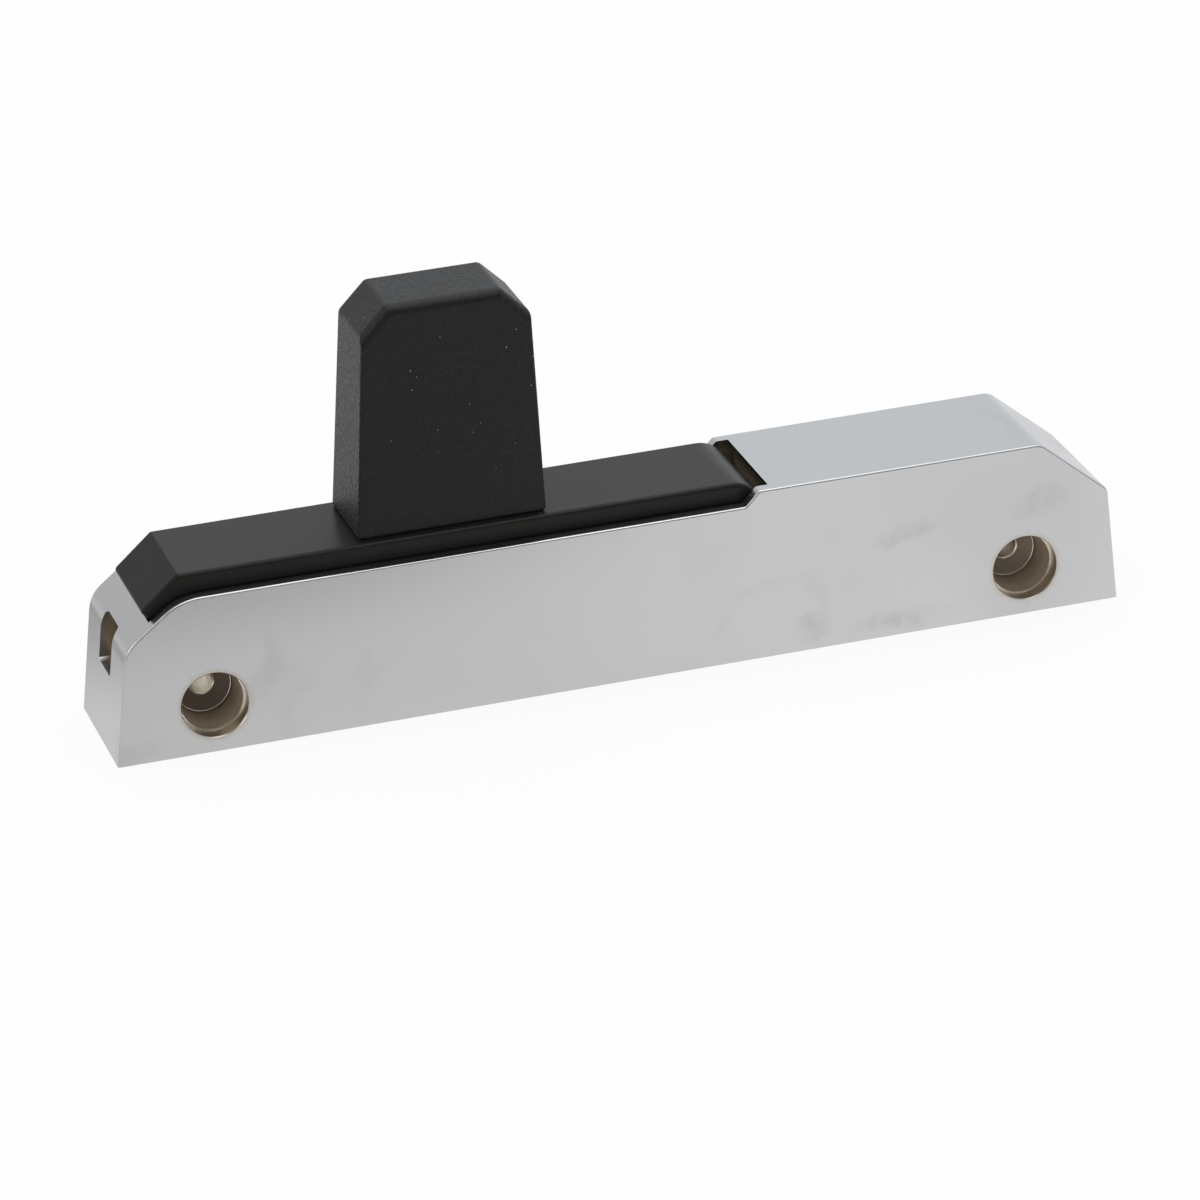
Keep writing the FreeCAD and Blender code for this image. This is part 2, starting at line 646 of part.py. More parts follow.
def grip_screw_washers():
    pieces = []
    for x in GRIP_SCREW_XS:
        disc = round_z(x, 0, WASHER_R, BOSS_FACE_Z - WASHER, BOSS_FACE_Z)
        pieces.append(disc.cut(round_z(x, 0, GRIP_SCREW_R + ROD_CLEARANCE,
                                       BOSS_FACE_Z - WASHER, BOSS_FACE_Z)))
    return Part.makeCompound(pieces)


def pivot_pin():
    """Steel pin pressed in through the back wall, blind behind the front face."""
    pin = round_y(PIVOT_X, PIVOT_Z, PIVOT_PIN_R,
                  -HALF_DEPTH + PIN_COVER + SLIDE_CLEARANCE, HALF_DEPTH - SLIDE_CLEARANCE)
    rims = [edge for edge in pin.Edges if edge.Closed]
    return pin.makeChamfer(PIN_CHAMFER, rims)


def pivot_bushes():
    """Flanged bushes pressed into the lever's barrel from both sides."""
    pieces = []
    for side in SIDES:
        low_y, high_y = mirrored(EAR_OUTER_Y - BUSH_LENGTH, EAR_OUTER_Y, side)
        sleeve = round_y(PIVOT_X, PIVOT_Z, BUSH_R, low_y, high_y)
        flange_low, flange_high = mirrored(EAR_OUTER_Y, EAR_OUTER_Y + BUSH_FLANGE, side)
        flange = round_y(PIVOT_X, PIVOT_Z, BUSH_FLANGE_R, flange_low, flange_high)
        bore = round_y(PIVOT_X, PIVOT_Z, PIVOT_PIN_R + RUNNING_CLEARANCE,
                       min(low_y, flange_low), max(high_y, flange_high))
        pieces.append(sleeve.fuse(flange).cut(bore))
    return Part.makeCompound(pieces)


def clip_range(side):
    """Where a spring clip lies on the drive pin, just inside the ear."""
    outer = EAR_INNER_Y - CLIP_SIDE_GAP
    return mirrored(outer - CLIP, outer, side)


def drive_pin():
    """Cross pin in the ears, which the carriage's slots ride on."""
    reach = CARRIAGE_OUTER_Y - SLIDE_CLEARANCE
    pin = round_y(PIVOT_X, DRIVE_Z, DRIVE_PIN_R, -reach, reach)
    rims = [edge for edge in pin.Edges if edge.Closed]
    pin = pin.makeChamfer(PIN_CHAMFER, rims)
    for side in SIDES:
        low_y, high_y = clip_range(side)
        ring = round_y(PIVOT_X, DRIVE_Z, DRIVE_PIN_R + CUT_MARGIN, low_y, high_y)
        core = round_y(PIVOT_X, DRIVE_Z, DRIVE_PIN_R - CLIP_GROOVE, low_y, high_y)
        pin = pin.cut(ring.cut(core))
    return pin


def drive_pin_clips():
    """Spring clips in the drive pin's grooves."""
    pieces = []
    for side in SIDES:
        low_y, high_y = clip_range(side)
        inner_r = DRIVE_PIN_R - CLIP_GROOVE + FIT_CLEARANCE
        disc = round_y(PIVOT_X, DRIVE_Z, CLIP_R, low_y, high_y)
        bore = round_y(PIVOT_X, DRIVE_Z, inner_r, low_y, high_y)
        mouth = block(PIVOT_X - inner_r, PIVOT_X + inner_r, low_y, high_y, DRIVE_Z - CLIP_R, DRIVE_Z)
        pieces.append(disc.cut([bore, mouth]))
    return Part.makeCompound(pieces)


def catch_carriage():
    """Pressed steel fork that carries the catch roller and slides along X."""
    outline = [
        (CARRIAGE_LEFT_X, CARRIAGE_LOW_Z, 0.0),
        (CARRIAGE_RIGHT_X, CARRIAGE_LOW_Z, CARRIAGE_CORNER_R),
        (CARRIAGE_RIGHT_X, CARRIAGE_TOP_Z, CARRIAGE_CORNER_R),
        (CARRIAGE_LEFT_X, CARRIAGE_TOP_Z, 0.0),
    ]
    body = slab(outline, -CARRIAGE_OUTER_Y, CARRIAGE_OUTER_Y)
    bends = []
    for edge in body.Edges:
        along_z = abs(edge.tangentAt(edge.FirstParameter).z) > 0.9
        if along_z and abs(edge.Vertexes[0].X - CARRIAGE_LEFT_X) < NEAR:
            bends.append(edge)
    body = body.makeFillet(CARRIAGE_CORNER_R, bends)
    body = body.cut(block(CARRIAGE_LEFT_X + BRIDGE, CARRIAGE_RIGHT_X + CUT_MARGIN, -CARRIAGE_INNER_Y,
                          CARRIAGE_INNER_Y, CARRIAGE_LOW_Z - CUT_MARGIN, CARRIAGE_TOP_Z + CUT_MARGIN))

    rise = DRIVE_ARM * (1 - math.cos(math.radians(LIFT_DEG)))
    half = DRIVE_PIN_R + SLOT_CLEARANCE
    low_z = DRIVE_Z - SLIDE_CLEARANCE - half
    high_z = DRIVE_Z + rise + SLIDE_CLEARANCE + half
    slot_round = half - NEAR
    drive_slot = slab([
        (PIVOT_X - half, low_z, slot_round),
        (PIVOT_X + half, low_z, slot_round),
        (PIVOT_X + half, high_z, slot_round),
        (PIVOT_X - half, high_z, slot_round),
    ], -CARRIAGE_OUTER_Y, CARRIAGE_OUTER_Y)
    pin_hole = round_y(ROLLER_X, ROLLER_Z, CATCH_PIN_R + FIT_CLEARANCE, -CARRIAGE_OUTER_Y, CARRIAGE_OUTER_Y)
    rod_hole = round_x(0, ROD_Z, ROD_R + SLIDE_CLEARANCE, CARRIAGE_LEFT_X, CARRIAGE_LEFT_X + BRIDGE)
    return body.cut([drive_slot, pin_hole, rod_hole])


def catch_pin():
    """Steel pin that the roller turns on, flush with the carriage's sides."""
    return round_y(ROLLER_X, ROLLER_Z, CATCH_PIN_R, -CARRIAGE_OUTER_Y, CARRIAGE_OUTER_Y)


def roller_half_width():
    return CARRIAGE_INNER_Y - ROLLER_WASHER - 2 * RUNNING_CLEARANCE


def catch_roller():
    """Hardened sleeve that holds behind the strike's hook."""
    half = roller_half_width()
    roller = round_y(ROLLER_X, ROLLER_Z, ROLLER_R, -half, half)
    rims = [edge for edge in roller.Edges if edge.Closed]
    roller = roller.makeChamfer(ROLLER_CHAMFER, rims)
    return roller.cut(round_y(ROLLER_X, ROLLER_Z, CATCH_PIN_R + RUNNING_CLEARANCE, -half, half))


def roller_washers():
    pieces = []
    for side in SIDES:
        low = roller_half_width() + RUNNING_CLEARANCE
        low_y, high_y = mirrored(low, low + ROLLER_WASHER, side)
        disc = round_y(ROLLER_X, ROLLER_Z, ROLLER_WASHER_R, low_y, high_y)
        pieces.append(disc.cut(round_y(ROLLER_X, ROLLER_Z, CATCH_PIN_R + RUNNING_CLEARANCE, low_y, high_y)))
    return Part.makeCompound(pieces)


def slide_rail(side):
    """Nylon channel that one side of the carriage slides in."""
    low_y, high_y = mirrored(CARRIAGE_INNER_Y, RAIL_OUTER_Y, side)
    rail = block(RAIL_LEFT_X, RAIL_RIGHT_X, low_y, high_y, PLATE_TOP_Z, RAIL_TOP_Z)
    low_y, high_y = mirrored(CARRIAGE_INNER_Y, CARRIAGE_OUTER_Y + SLIDE_CLEARANCE, side)
    groove = block(RAIL_LEFT_X, RAIL_RIGHT_X, low_y, high_y,
                   PLATE_TOP_Z + RAIL_LIP, RAIL_TOP_Z - RAIL_LIP)
    rail = rail.cut(groove)
    pegs = []
    for x in (RAIL_LEFT_X + RAIL_PEG_INSET, RAIL_RIGHT_X - RAIL_PEG_INSET):
        pegs.append(round_z(x, side * rail_peg_y(), RAIL_PEG_R, PLATE_TOP_Z - PLATE / 2, PLATE_TOP_Z))
    return rail.fuse(pegs)


def rail_peg_y():
    return RAIL_OUTER_Y - RAIL_PEG_R - RAIL_PEG_EDGE


def slide_rail_front():
    return slide_rail(-1)


def slide_rail_back():
    return slide_rail(1)


def catch_spring():
    """Compression spring between the housing's rib and the carriage."""
    start_x = SPRING_LEFT_X + SPRING_WIRE_R
    length = CARRIAGE_LEFT_X - SPRING_WIRE_R - start_x
    steps = SPRING_TURNS * SPRING_STEPS
    sections = []
    for step in range(steps + 1):
        turn = 2 * math.pi * step / SPRING_STEPS
        centre_x = start_x + length * step / steps
        points = []
        for side in range(SPRING_SIDES + 1):
            angle = 2 * math.pi * side / SPRING_SIDES
            reach = SPRING_R + SPRING_WIRE_R * math.cos(angle)
            x = centre_x + SPRING_WIRE_R * math.sin(angle)
            points.append(FreeCAD.Vector(x, reach * math.cos(turn), ROD_Z + reach * math.sin(turn)))
        sections.append(Part.makePolygon(points))
    return Part.makeLoft(sections, True, True)


def spring_guide_rod():
    """Steel rod through the rib, inside the spring."""
    rib_left = SPRING_RIB_X - BEARING_RIB / 2
    shank = round_x(0, ROD_Z, ROD_R, rib_left, ROD_TIP_X)
    tip = [edge for edge in shank.Edges if edge.Closed and edge.CenterOfMass.x > ROD_TIP_X - NEAR]
    shank = shank.makeChamfer(ROD_CHAMFER, tip)
    head = round_x(0, ROD_Z, ROD_HEAD_R, rib_left - ROD_HEAD, rib_left)
    return shank.fuse(head).removeSplitter()


def base_plate():
    """Pressed steel plate under the catch, with the mouth for the strike's hook."""
    left = SPRING_RIB_X - BEARING_RIB / 2 - PLATE_OVERHANG
    right = GROOVE_RIB_X + BEARING_RIB / 2 + PLATE_OVERHANG
    half = INNER_Y - PLATE_GAP
    plate = block(left, right, -half, half, PLATE_LOW_Z, PLATE_TOP_Z)
    corners = [edge for edge in plate.Edges if abs(edge.tangentAt(0).z) > 0.9]
    plate = plate.makeFillet(PLATE_CORNER_R, corners)
    mouth = block(MOUTH_LEFT_X, MOUTH_RIGHT_X, -MOUTH_WIDTH / 2, MOUTH_WIDTH / 2, PLATE_LOW_Z, PLATE_TOP_Z)
    corners = [edge for edge in mouth.Edges if abs(edge.tangentAt(0).z) > 0.9]
    cuts = [mouth.makeFillet(MOUTH_CORNER_R, corners)]
    for side in SIDES:
        for x in PLATE_SCREW_XS:
            cuts.append(round_z(x, side * PLATE_SCREW_Y, PLATE_SCREW_R + SLIDE_CLEARANCE,
                                PLATE_LOW_Z, PLATE_TOP_Z))
        for x in (RAIL_LEFT_X + RAIL_PEG_INSET, RAIL_RIGHT_X - RAIL_PEG_INSET):
            cuts.append(round_z(x, side * rail_peg_y(), RAIL_PEG_R + RUNNING_CLEARANCE,
                                PLATE_TOP_Z - PLATE / 2, PLATE_TOP_Z))
    return plate.cut(cuts)


def base_plate_screws():
    pieces = []
    for x in PLATE_SCREW_XS:
        for side in SIDES:
            y = side * PLATE_SCREW_Y
            shank = round_z(x, y, PLATE_SCREW_R, PLATE_LOW_Z, PLATE_TOP_Z + PLATE_SCREW_REACH)
            low_z = PLATE_LOW_Z - PLATE_HEAD
            head = round_z(x, y, PLATE_HEAD_R, low_z, PLATE_LOW_Z)
            rims = [edge for edge in head.Edges if edge.Closed and edge.CenterOfMass.z < low_z + NEAR]
            head = head.makeChamfer(PLATE_HEAD_CHAMFER, rims)
            socket = hexagon_z(x, y, SOCKET_WIDTH, low_z, low_z + PLATE_HEAD * SOCKET_SHARE)
            pieces.append(head.fuse(shank).cut(socket))
    return Part.makeCompound(pieces)


def lever_buffers():
    """Rubber pads that the lever's flanges come down on."""
    pieces = []
    x = SCREW_XS[0]
    top_z = LEVER_BASE_Z - BUFFER_GAP
    for side in SIDES:
        y = buffer_place(side)
        pad = block(x - BUFFER_LENGTH / 2, x + BUFFER_LENGTH / 2, y - BUFFER_WIDTH / 2,
                    y + BUFFER_WIDTH / 2, BUFFER_LEDGE_TOP_Z, top_z)
        rims = [edge for edge in pad.Edges if min(vertex.Z for vertex in edge.Vertexes) > top_z - NEAR]
        pad = pad.makeFillet(BUFFER_EDGE_R, rims)
        peg = round_z(x, y, BUFFER_PEG_R, BUFFER_LEDGE_TOP_Z - BUFFER_PEG, BUFFER_LEDGE_TOP_Z)
        pieces.append(pad.fuse(peg))
    return Part.makeCompound(pieces)


SUB_PARTS = [
    housing,
    lever,
    grip,
    grip_inserts,
    grip_screws,
    grip_screw_washers,
    pivot_pin,
    pivot_bushes,
    drive_pin,
    drive_pin_clips,
    catch_carriage,
    catch_pin,
    catch_roller,
    roller_washers,
    slide_rail_front,
    slide_rail_back,
    catch_spring,
    spring_guide_rod,
    base_plate,
    base_plate_screws,
    lever_buffers,
]

os.makedirs("parts", exist_ok=True)
for make in SUB_PARTS:
    shape = make()
    shape.exportStep("parts/" + make.__name__ + ".step")
    box = shape.BoundBox
    print(make.__name__, "solids", len(shape.Solids), "valid", shape.isValid(),
          "volume", round(shape.Volume, 1), "x", round(box.XMin, 2), round(box.XMax, 2),
          "y", round(box.YMin, 2), round(box.YMax, 2), "z", round(box.ZMin, 2), round(box.ZMax, 2))
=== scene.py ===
import math

import bpy
from mathutils import Matrix, Vector


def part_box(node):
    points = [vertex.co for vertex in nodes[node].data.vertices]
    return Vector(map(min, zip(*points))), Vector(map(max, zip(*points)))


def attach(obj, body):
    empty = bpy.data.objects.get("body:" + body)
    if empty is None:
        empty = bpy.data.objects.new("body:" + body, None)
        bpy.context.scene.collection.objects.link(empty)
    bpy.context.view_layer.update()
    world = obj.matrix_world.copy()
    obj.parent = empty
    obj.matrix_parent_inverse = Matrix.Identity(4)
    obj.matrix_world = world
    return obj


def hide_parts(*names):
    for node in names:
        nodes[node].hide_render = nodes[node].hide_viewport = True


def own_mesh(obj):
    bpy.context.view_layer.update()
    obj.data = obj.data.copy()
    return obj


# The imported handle, in metres: the middle of its underside is the origin, +X runs along it
# to the pivot end, +Y to the door and +Z up to the grip.
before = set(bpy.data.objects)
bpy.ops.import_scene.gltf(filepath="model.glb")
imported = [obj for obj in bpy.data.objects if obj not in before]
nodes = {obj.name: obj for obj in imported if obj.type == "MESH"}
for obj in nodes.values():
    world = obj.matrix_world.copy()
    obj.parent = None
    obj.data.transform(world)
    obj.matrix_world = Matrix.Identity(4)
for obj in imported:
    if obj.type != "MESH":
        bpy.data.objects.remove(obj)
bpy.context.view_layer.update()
bpy.ops.object.select_all(action="DESELECT")


# CAMERA
# A long lens in front of the housing's left half, looking down on it by 24 degrees, as the
# photograph was taken.
camera_data = bpy.data.cameras.new("camera")
camera_data.sensor_width = 36.0
camera_data.lens = 192.32
camera_data.clip_start = 0.05
camera_data.clip_end = 20.0
camera = bpy.data.objects.new("camera", camera_data)
bpy.context.scene.collection.objects.link(camera)
camera_right = Vector((0.95558, -0.29037, -0.05050))
camera_down = Vector((-0.16058, -0.36925, -0.91535))
camera_forward = Vector((0.24714, 0.88280, -0.39948))
camera_place = Vector((-0.35898, -1.28046, 0.59228))
turn = Matrix((camera_right, -camera_down, -camera_forward)).transposed()
camera.matrix_world = Matrix.Translation(camera_place) @ turn.to_4x4()
bpy.context.scene.camera = camera


# HOUSING
# One zinc die casting, ground and polished outside and then plated with satin bright chrome.
# The plating throws only a little way into the holes and the hollow, which stay bare, warm
# and brownish, and it leaves a stained halo round each counterbore.


def node_group(name, inputs, outputs):
    """Empty shader node group with named float, colour or vector sockets."""
    group = bpy.data.node_groups.new(name, "ShaderNodeTree")
    kinds = {"f": "NodeSocketFloat", "c": "NodeSocketColor", "v": "NodeSocketVector"}
    for label, kind, value in inputs:
        socket = group.interface.new_socket(label, in_out="INPUT", socket_type=kinds[kind])
        if value is not None:
            socket.default_value = value
    for label, kind in outputs:
        group.interface.new_socket(label, in_out="OUTPUT", socket_type=kinds[kind])
    return group, group.nodes.new("NodeGroupInput"), group.nodes.new("NodeGroupOutput")


def add(tree, kind, links=(), **settings):
    """New node with its settings; links gives (input, source socket or value) pairs."""
    node = tree.nodes.new("ShaderNode" + kind)
    for key, value in settings.items():
        setattr(node, key, value)
    for key, source in links:
        if isinstance(source, bpy.types.NodeSocket):
            tree.links.new(source, node.inputs[key])
        else:
            node.inputs[key].default_value = source
    return node


def use(tree, group, **sources):
    """Places a node group; each source is a socket or a plain value."""
    node = tree.nodes.new("ShaderNodeGroup")
    node.node_tree = group
    for key, source in sources.items():
        if isinstance(source, bpy.types.NodeSocket):
            tree.links.new(source, node.inputs[key])
        else:
            node.inputs[key].default_value = source
    return node


def math_node(tree, operation, first, second=0.0):
    """Result of one Math node."""
    return add(tree, "Math", [(0, first), (1, second)], operation=operation).outputs[0]


def times(tree, first, second):
    """Product of two values, or both of two masks."""
    return math_node(tree, "MULTIPLY", first, second)


def fade(tree, value, start, end):
    """0 below start and 1 beyond end, with a smooth step between them."""
    node = add(tree, "MapRange", [("Value", value), ("From Min", start), ("From Max", end)],
               interpolation_type="SMOOTHSTEP")
    return node.outputs["Result"]


def mix_colour(tree, factor, first, second):
    """First colour at factor 0 and second at 1; each is a socket or a plain colour."""
    node = tree.nodes.new("ShaderNodeMix")
    node.data_type = "RGBA"
    tree.links.new(factor, node.inputs["Factor"])
    for socket, source in ((node.inputs[6], first), (node.inputs[7], second)):
        if isinstance(source, bpy.types.NodeSocket):
            tree.links.new(source, socket)
        else:
            socket.default_value = (*source, 1.0)
    return node.outputs[2]


def mix_value(tree, factor, first, second):
    """First value at factor 0 and second at 1."""
    node = add(tree, "MapRange", [("Value", factor), ("To Min", first), ("To Max", second)])
    return node.outputs["Result"]


def noise(tree, vector, scale, detail=3.0, output="Fac"):
    """Cloudy texture, as a value or with output="Color" as a colour."""
    node = add(tree, "TexNoise", [("Vector", vector), ("Scale", scale), ("Detail", detail)])
    return node.outputs[output]


def material(name, **plain):
    """New material; returns it with its node tree, shader and object coordinates."""
    made = bpy.data.materials.new(name)
    made.use_nodes = True
    tree = made.node_tree
    shader = tree.nodes["Principled BSDF"]
    for key, value in plain.items():
        shader.inputs[key.replace("_", " ")].default_value = value
    place = tree.nodes.new("ShaderNodeTexCoord").outputs["Object"]
    return made, tree, shader, place


def dress(made, *names):
    """Gives the material to CAD nodes, in place of what they came with."""
    for name in names:
        slots = nodes[name].data.materials
        slots.clear()
        slots.append(made)


# Cloudy marks of handling, cleaning and moulding, shared by most of the materials: From and
# To are the levels of the cloud between which a mark fades in.
smudge, inputs, outputs = node_group(
    "smudge",
    [("Vector", "v", None), ("Scale", "f", 30.0), ("Twist", "f", 0.5), ("From", "f", 0.48),
     ("To", "f", 0.78)],
    [("Mask", "f")])
cloud = add(smudge, "TexNoise", [("Vector", inputs.outputs["Vector"]),
                                 ("Scale", inputs.outputs["Scale"]), ("Detail", 2.0),
                                 ("Roughness", 0.5), ("Distortion", inputs.outputs["Twist"])])
smudge.links.new(fade(smudge, cloud.outputs["Fac"], inputs.outputs["From"], inputs.outputs["To"]),
                 outputs.inputs["Mask"])

# Fine irregular surface, as a normal: Depth is its height in metres.
grain, inputs, outputs = node_group(
    "grain", [("Vector", "v", None), ("Scale", "f", 900.0), ("Depth", "f", 0.00001)],
    [("Normal", "v"), ("Height", "f")])
speckle = noise(grain, inputs.outputs["Vector"], inputs.outputs["Scale"])
relief = add(grain, "Bump", [("Height", speckle), ("Distance", inputs.outputs["Depth"]),
                             ("Strength", 1.0)])
grain.links.new(relief.outputs["Normal"], outputs.inputs["Normal"])
grain.links.new(speckle, outputs.inputs["Height"])

housing_low, housing_high = (Vector(corner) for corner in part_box("housing"))
half_depth = housing_high.y
left_end, right_end = housing_low.x, housing_high.x
plateau_z = housing_high.z
lip_z = 0.0372
chamfer_foot_z = 0.0271
left_lean, left_chamfer_inset = 0.0037, 0.0169
right_lean, right_chamfer_inset = 0.0017, 0.0175
step_x = 0.0313
hole_z = 0.0111
hole_half_spacing = 0.095
holes_middle_x = 0.0004
cap_seat_r, cap_seat_depth = 0.00765, 0.0038
counterbore_r, counterbore_floor_r, counterbore_depth = 0.0072, 0.0064, 0.0120
screw_hole_r, screw_hole_start = 0.00265, 0.0136

chrome, tree, shader, place = material("chromed_zinc")

# How deep a point lies under the casting's outer faces.
axes = add(tree, "SeparateXYZ", [("Vector", place)]).outputs
across = math_node(tree, "ABSOLUTE", axes["Y"])
depth = math_node(tree, "SUBTRACT", half_depth, across)
beyond_step = math_node(tree, "GREATER_THAN", axes["X"], step_x)
top_z = mix_value(tree, beyond_step, lip_z, plateau_z)
depth = math_node(tree, "MINIMUM", depth, math_node(tree, "SUBTRACT", top_z, axes["Z"]))
left_bend = (left_end + left_lean, chamfer_foot_z)
right_bend = (right_end - right_lean, chamfer_foot_z)
for start, end in (((left_end, 0.0), left_bend),
                   (left_bend, (left_end + left_chamfer_inset, lip_z)),
                   ((right_end - right_chamfer_inset, plateau_z), right_bend),
                   (right_bend, (right_end, 0.0))):
    along = (Vector(end) - Vector(start)).normalized()
    inwards = (along.y, 0.0, -along.x)
    offset = add(tree, "VectorMath", [(0, place), (1, (start[0], 0.0, start[1]))],
                 operation="SUBTRACT").outputs["Vector"]
    reach = add(tree, "VectorMath", [(0, offset), (1, inwards)],
                operation="DOT_PRODUCT").outputs["Value"]
    depth = math_node(tree, "MINIMUM", depth, reach)

beside = math_node(tree, "ABSOLUTE", math_node(tree, "SUBTRACT", axes["X"], holes_middle_x))
beside = math_node(tree, "SUBTRACT", beside, hole_half_spacing)
above = math_node(tree, "SUBTRACT", axes["Z"], hole_z)
from_front = math_node(tree, "ADD", axes["Y"], half_depth)


def distance(tree, first, second):
    """Length of the step that has these two parts."""
    step = add(tree, "CombineXYZ", [("X", first), ("Y", second)]).outputs["Vector"]
    return add(tree, "VectorMath", [(0, step)], operation="LENGTH").outputs["Value"]


# Plating builds up, a little ragged, on the round edges inside the holes, which are painted
# near-white there: partly plating, partly a painted highlight.
from_hole = distance(tree, beside, above)
ragged = noise(tree, place, 700.0)
plating_and_glint = None
for edge_r, edge_depth, reach in ((cap_seat_r, cap_seat_depth, 0.00013),
                                  (counterbore_r, cap_seat_depth, 0.00028),
                                  (counterbore_floor_r, counterbore_depth, 0.00016),
                                  (screw_hole_r, screw_hole_start, 0.00040)):
    off_edge = distance(tree, math_node(tree, "SUBTRACT", from_hole, edge_r),
                        math_node(tree, "SUBTRACT", from_front, edge_depth))
    off_edge = math_node(tree, "ADD", off_edge, times(tree, ragged, reach * 0.9))
    line = fade(tree, off_edge, reach * 1.5, reach * 0.9)
    plating_and_glint = line if plating_and_glint is None else math_node(tree, "MAXIMUM", plating_and_glint, line)

# The same plating, with the same painted highlight, lies in patches on the ledge at the foot of
# each hole's wider mouth.
off_ledge = math_node(tree, "ABSOLUTE", math_node(tree, "SUBTRACT", from_front, cap_seat_depth))
ledge_plating_and_glint = times(tree, fade(tree, off_ledge, 0.00025, 0.00010),
                 fade(tree, from_hole, cap_seat_r + 0.00025, cap_seat_r + 0.00005))
ledge_plating_and_glint = times(tree, ledge_plating_and_glint, fade(tree, noise(tree, place, 110.0), 0.44, 0.52))
plating_and_glint = math_node(tree, "MAXIMUM", plating_and_glint, ledge_plating_and_glint)

# Stained where the plating thins out, bare zinc farther in.
thrown = math_node(tree, "ADD", depth, times(tree, ragged, 0.0008))
front_half = fade(tree, axes["Y"], 0.002, 0.0)
in_seat = times(tree, fade(tree, from_hole, cap_seat_r + 0.0002, cap_seat_r),
                fade(tree, from_front, 0.0003, 0.0008))
in_seat = times(tree, in_seat, front_half)
stained = math_node(tree, "MAXIMUM", in_seat, fade(tree, thrown, 0.0016, 0.0026))
bare = fade(tree, thrown, 0.0028, 0.0055)
plain = math_node(tree, "SUBTRACT", 1.0, plating_and_glint)
stained = times(tree, stained, plain)
bare = times(tree, bare, plain)

# Painted shade on the floor of the counterbores, less in the right one, painted light on their
# walls, and painted light on the walls of the screw holes, more in the left one.
deep_painted_shade = times(tree, fade(tree, depth, 0.0105, 0.0122),
             fade(tree, from_hole, counterbore_r - 0.0002, counterbore_floor_r + 0.0001))
right_half = fade(tree, axes["X"], -0.01, 0.01)
deep_painted_shade = times(tree, deep_painted_shade, mix_value(tree, right_half, 1.0, 0.45))
in_screw_hole = fade(tree, from_hole, screw_hole_r + 0.0002, screw_hole_r)
wall_painted_light = times(tree, fade(tree, from_hole, counterbore_r + 0.0002, counterbore_r - 0.0002),
                fade(tree, from_front, counterbore_depth, 0.0090))
mottled = fade(tree, noise(tree, place, 380.0), 0.40, 0.66)

# Marks all over, and darker oval patches on the front: middle, half lengths along X and Z,
# and slant in degrees.
marks = use(tree, smudge, Vector=place, Scale=15.0).outputs["Mask"]
wisps = use(tree, smudge, Vector=place, Scale=36.0, Twist=1.2, From=0.58, To=0.82).outputs["Mask"]
ripple = 0.0035
rippled = add(tree, "VectorMath", [(0, noise(tree, place, 90.0, 2.0, "Color")),
                                   (1, (2 * ripple, 0.0, 2 * ripple)), (2, place)],
              operation="MULTIPLY_ADD").outputs["Vector"]
patches = None
for x, z, length, height, slant in ((0.0670, 0.0250, 0.0100, 0.0022, 10.0),
                                    (0.1000, 0.0270, 0.0085, 0.0042, 10.0),
                                    (0.0440, 0.0050, 0.0048, 0.0038, 0.0),
                                    (0.0640, 0.0035, 0.0130, 0.0028, 0.0)):
    offset = add(tree, "VectorMath", [(0, rippled), (1, (x + ripple, 0.0, z + ripple))],
                 operation="SUBTRACT").outputs["Vector"]
    turned = add(tree, "VectorRotate", [("Vector", offset), ("Angle", math.radians(slant))],
                 rotation_type="Y_AXIS").outputs["Vector"]
    scaled = add(tree, "VectorMath", [(0, turned), (1, (length, 1.0, height))],
                 operation="DIVIDE").outputs["Vector"]
    spot = add(tree, "VectorMath", [(0, scaled)], operation="LENGTH").outputs["Value"]
    spot = fade(tree, spot, 1.25, 0.25)
    patches = spot if patches is None else math_node(tree, "MAXIMUM", patches, spot)
patches = times(tree, patches, mix_value(tree, mottled, 0.40, 0.75))
patches = times(tree, patches, front_half)
halo = fade(tree, math_node(tree, "ADD", from_hole, times(tree, ragged, 0.0020)),
            cap_seat_r + 0.0026, cap_seat_r + 0.0008)
halo = times(tree, halo, front_half)

colour = mix_colour(tree, marks, (0.604, 0.604, 0.612), (0.574, 0.575, 0.583))
colour = mix_colour(tree, times(tree, wisps, 0.7), colour, (0.52, 0.52, 0.52))
colour = mix_colour(tree, patches, colour, (0.515, 0.510, 0.505))
colour = mix_colour(tree, times(tree, halo, 0.8), colour, (0.52, 0.47, 0.405))
colour = mix_colour(tree, stained, colour, (0.48, 0.40, 0.29))
zinc = mix_colour(tree, mottled, (0.44, 0.363, 0.282), (0.50, 0.415, 0.328))
# Counterbore walls painted lighter: painted light.
zinc = mix_colour(tree, times(tree, wall_painted_light, 0.6), zinc, (0.72, 0.61, 0.49))
# Counterbore floors painted dark, less on the right: painted shade.
zinc = mix_colour(tree, deep_painted_shade, zinc, (0.195, 0.148, 0.108))
# Screw hole walls painted bright, the left brighter than the right: painted light.
screw_hole_painted_light = mix_colour(tree, right_half, (0.80, 0.76, 0.68), (0.50, 0.445, 0.39))
zinc = mix_colour(tree, in_screw_hole, zinc, screw_hole_painted_light)
colour = mix_colour(tree, bare, colour, zinc)
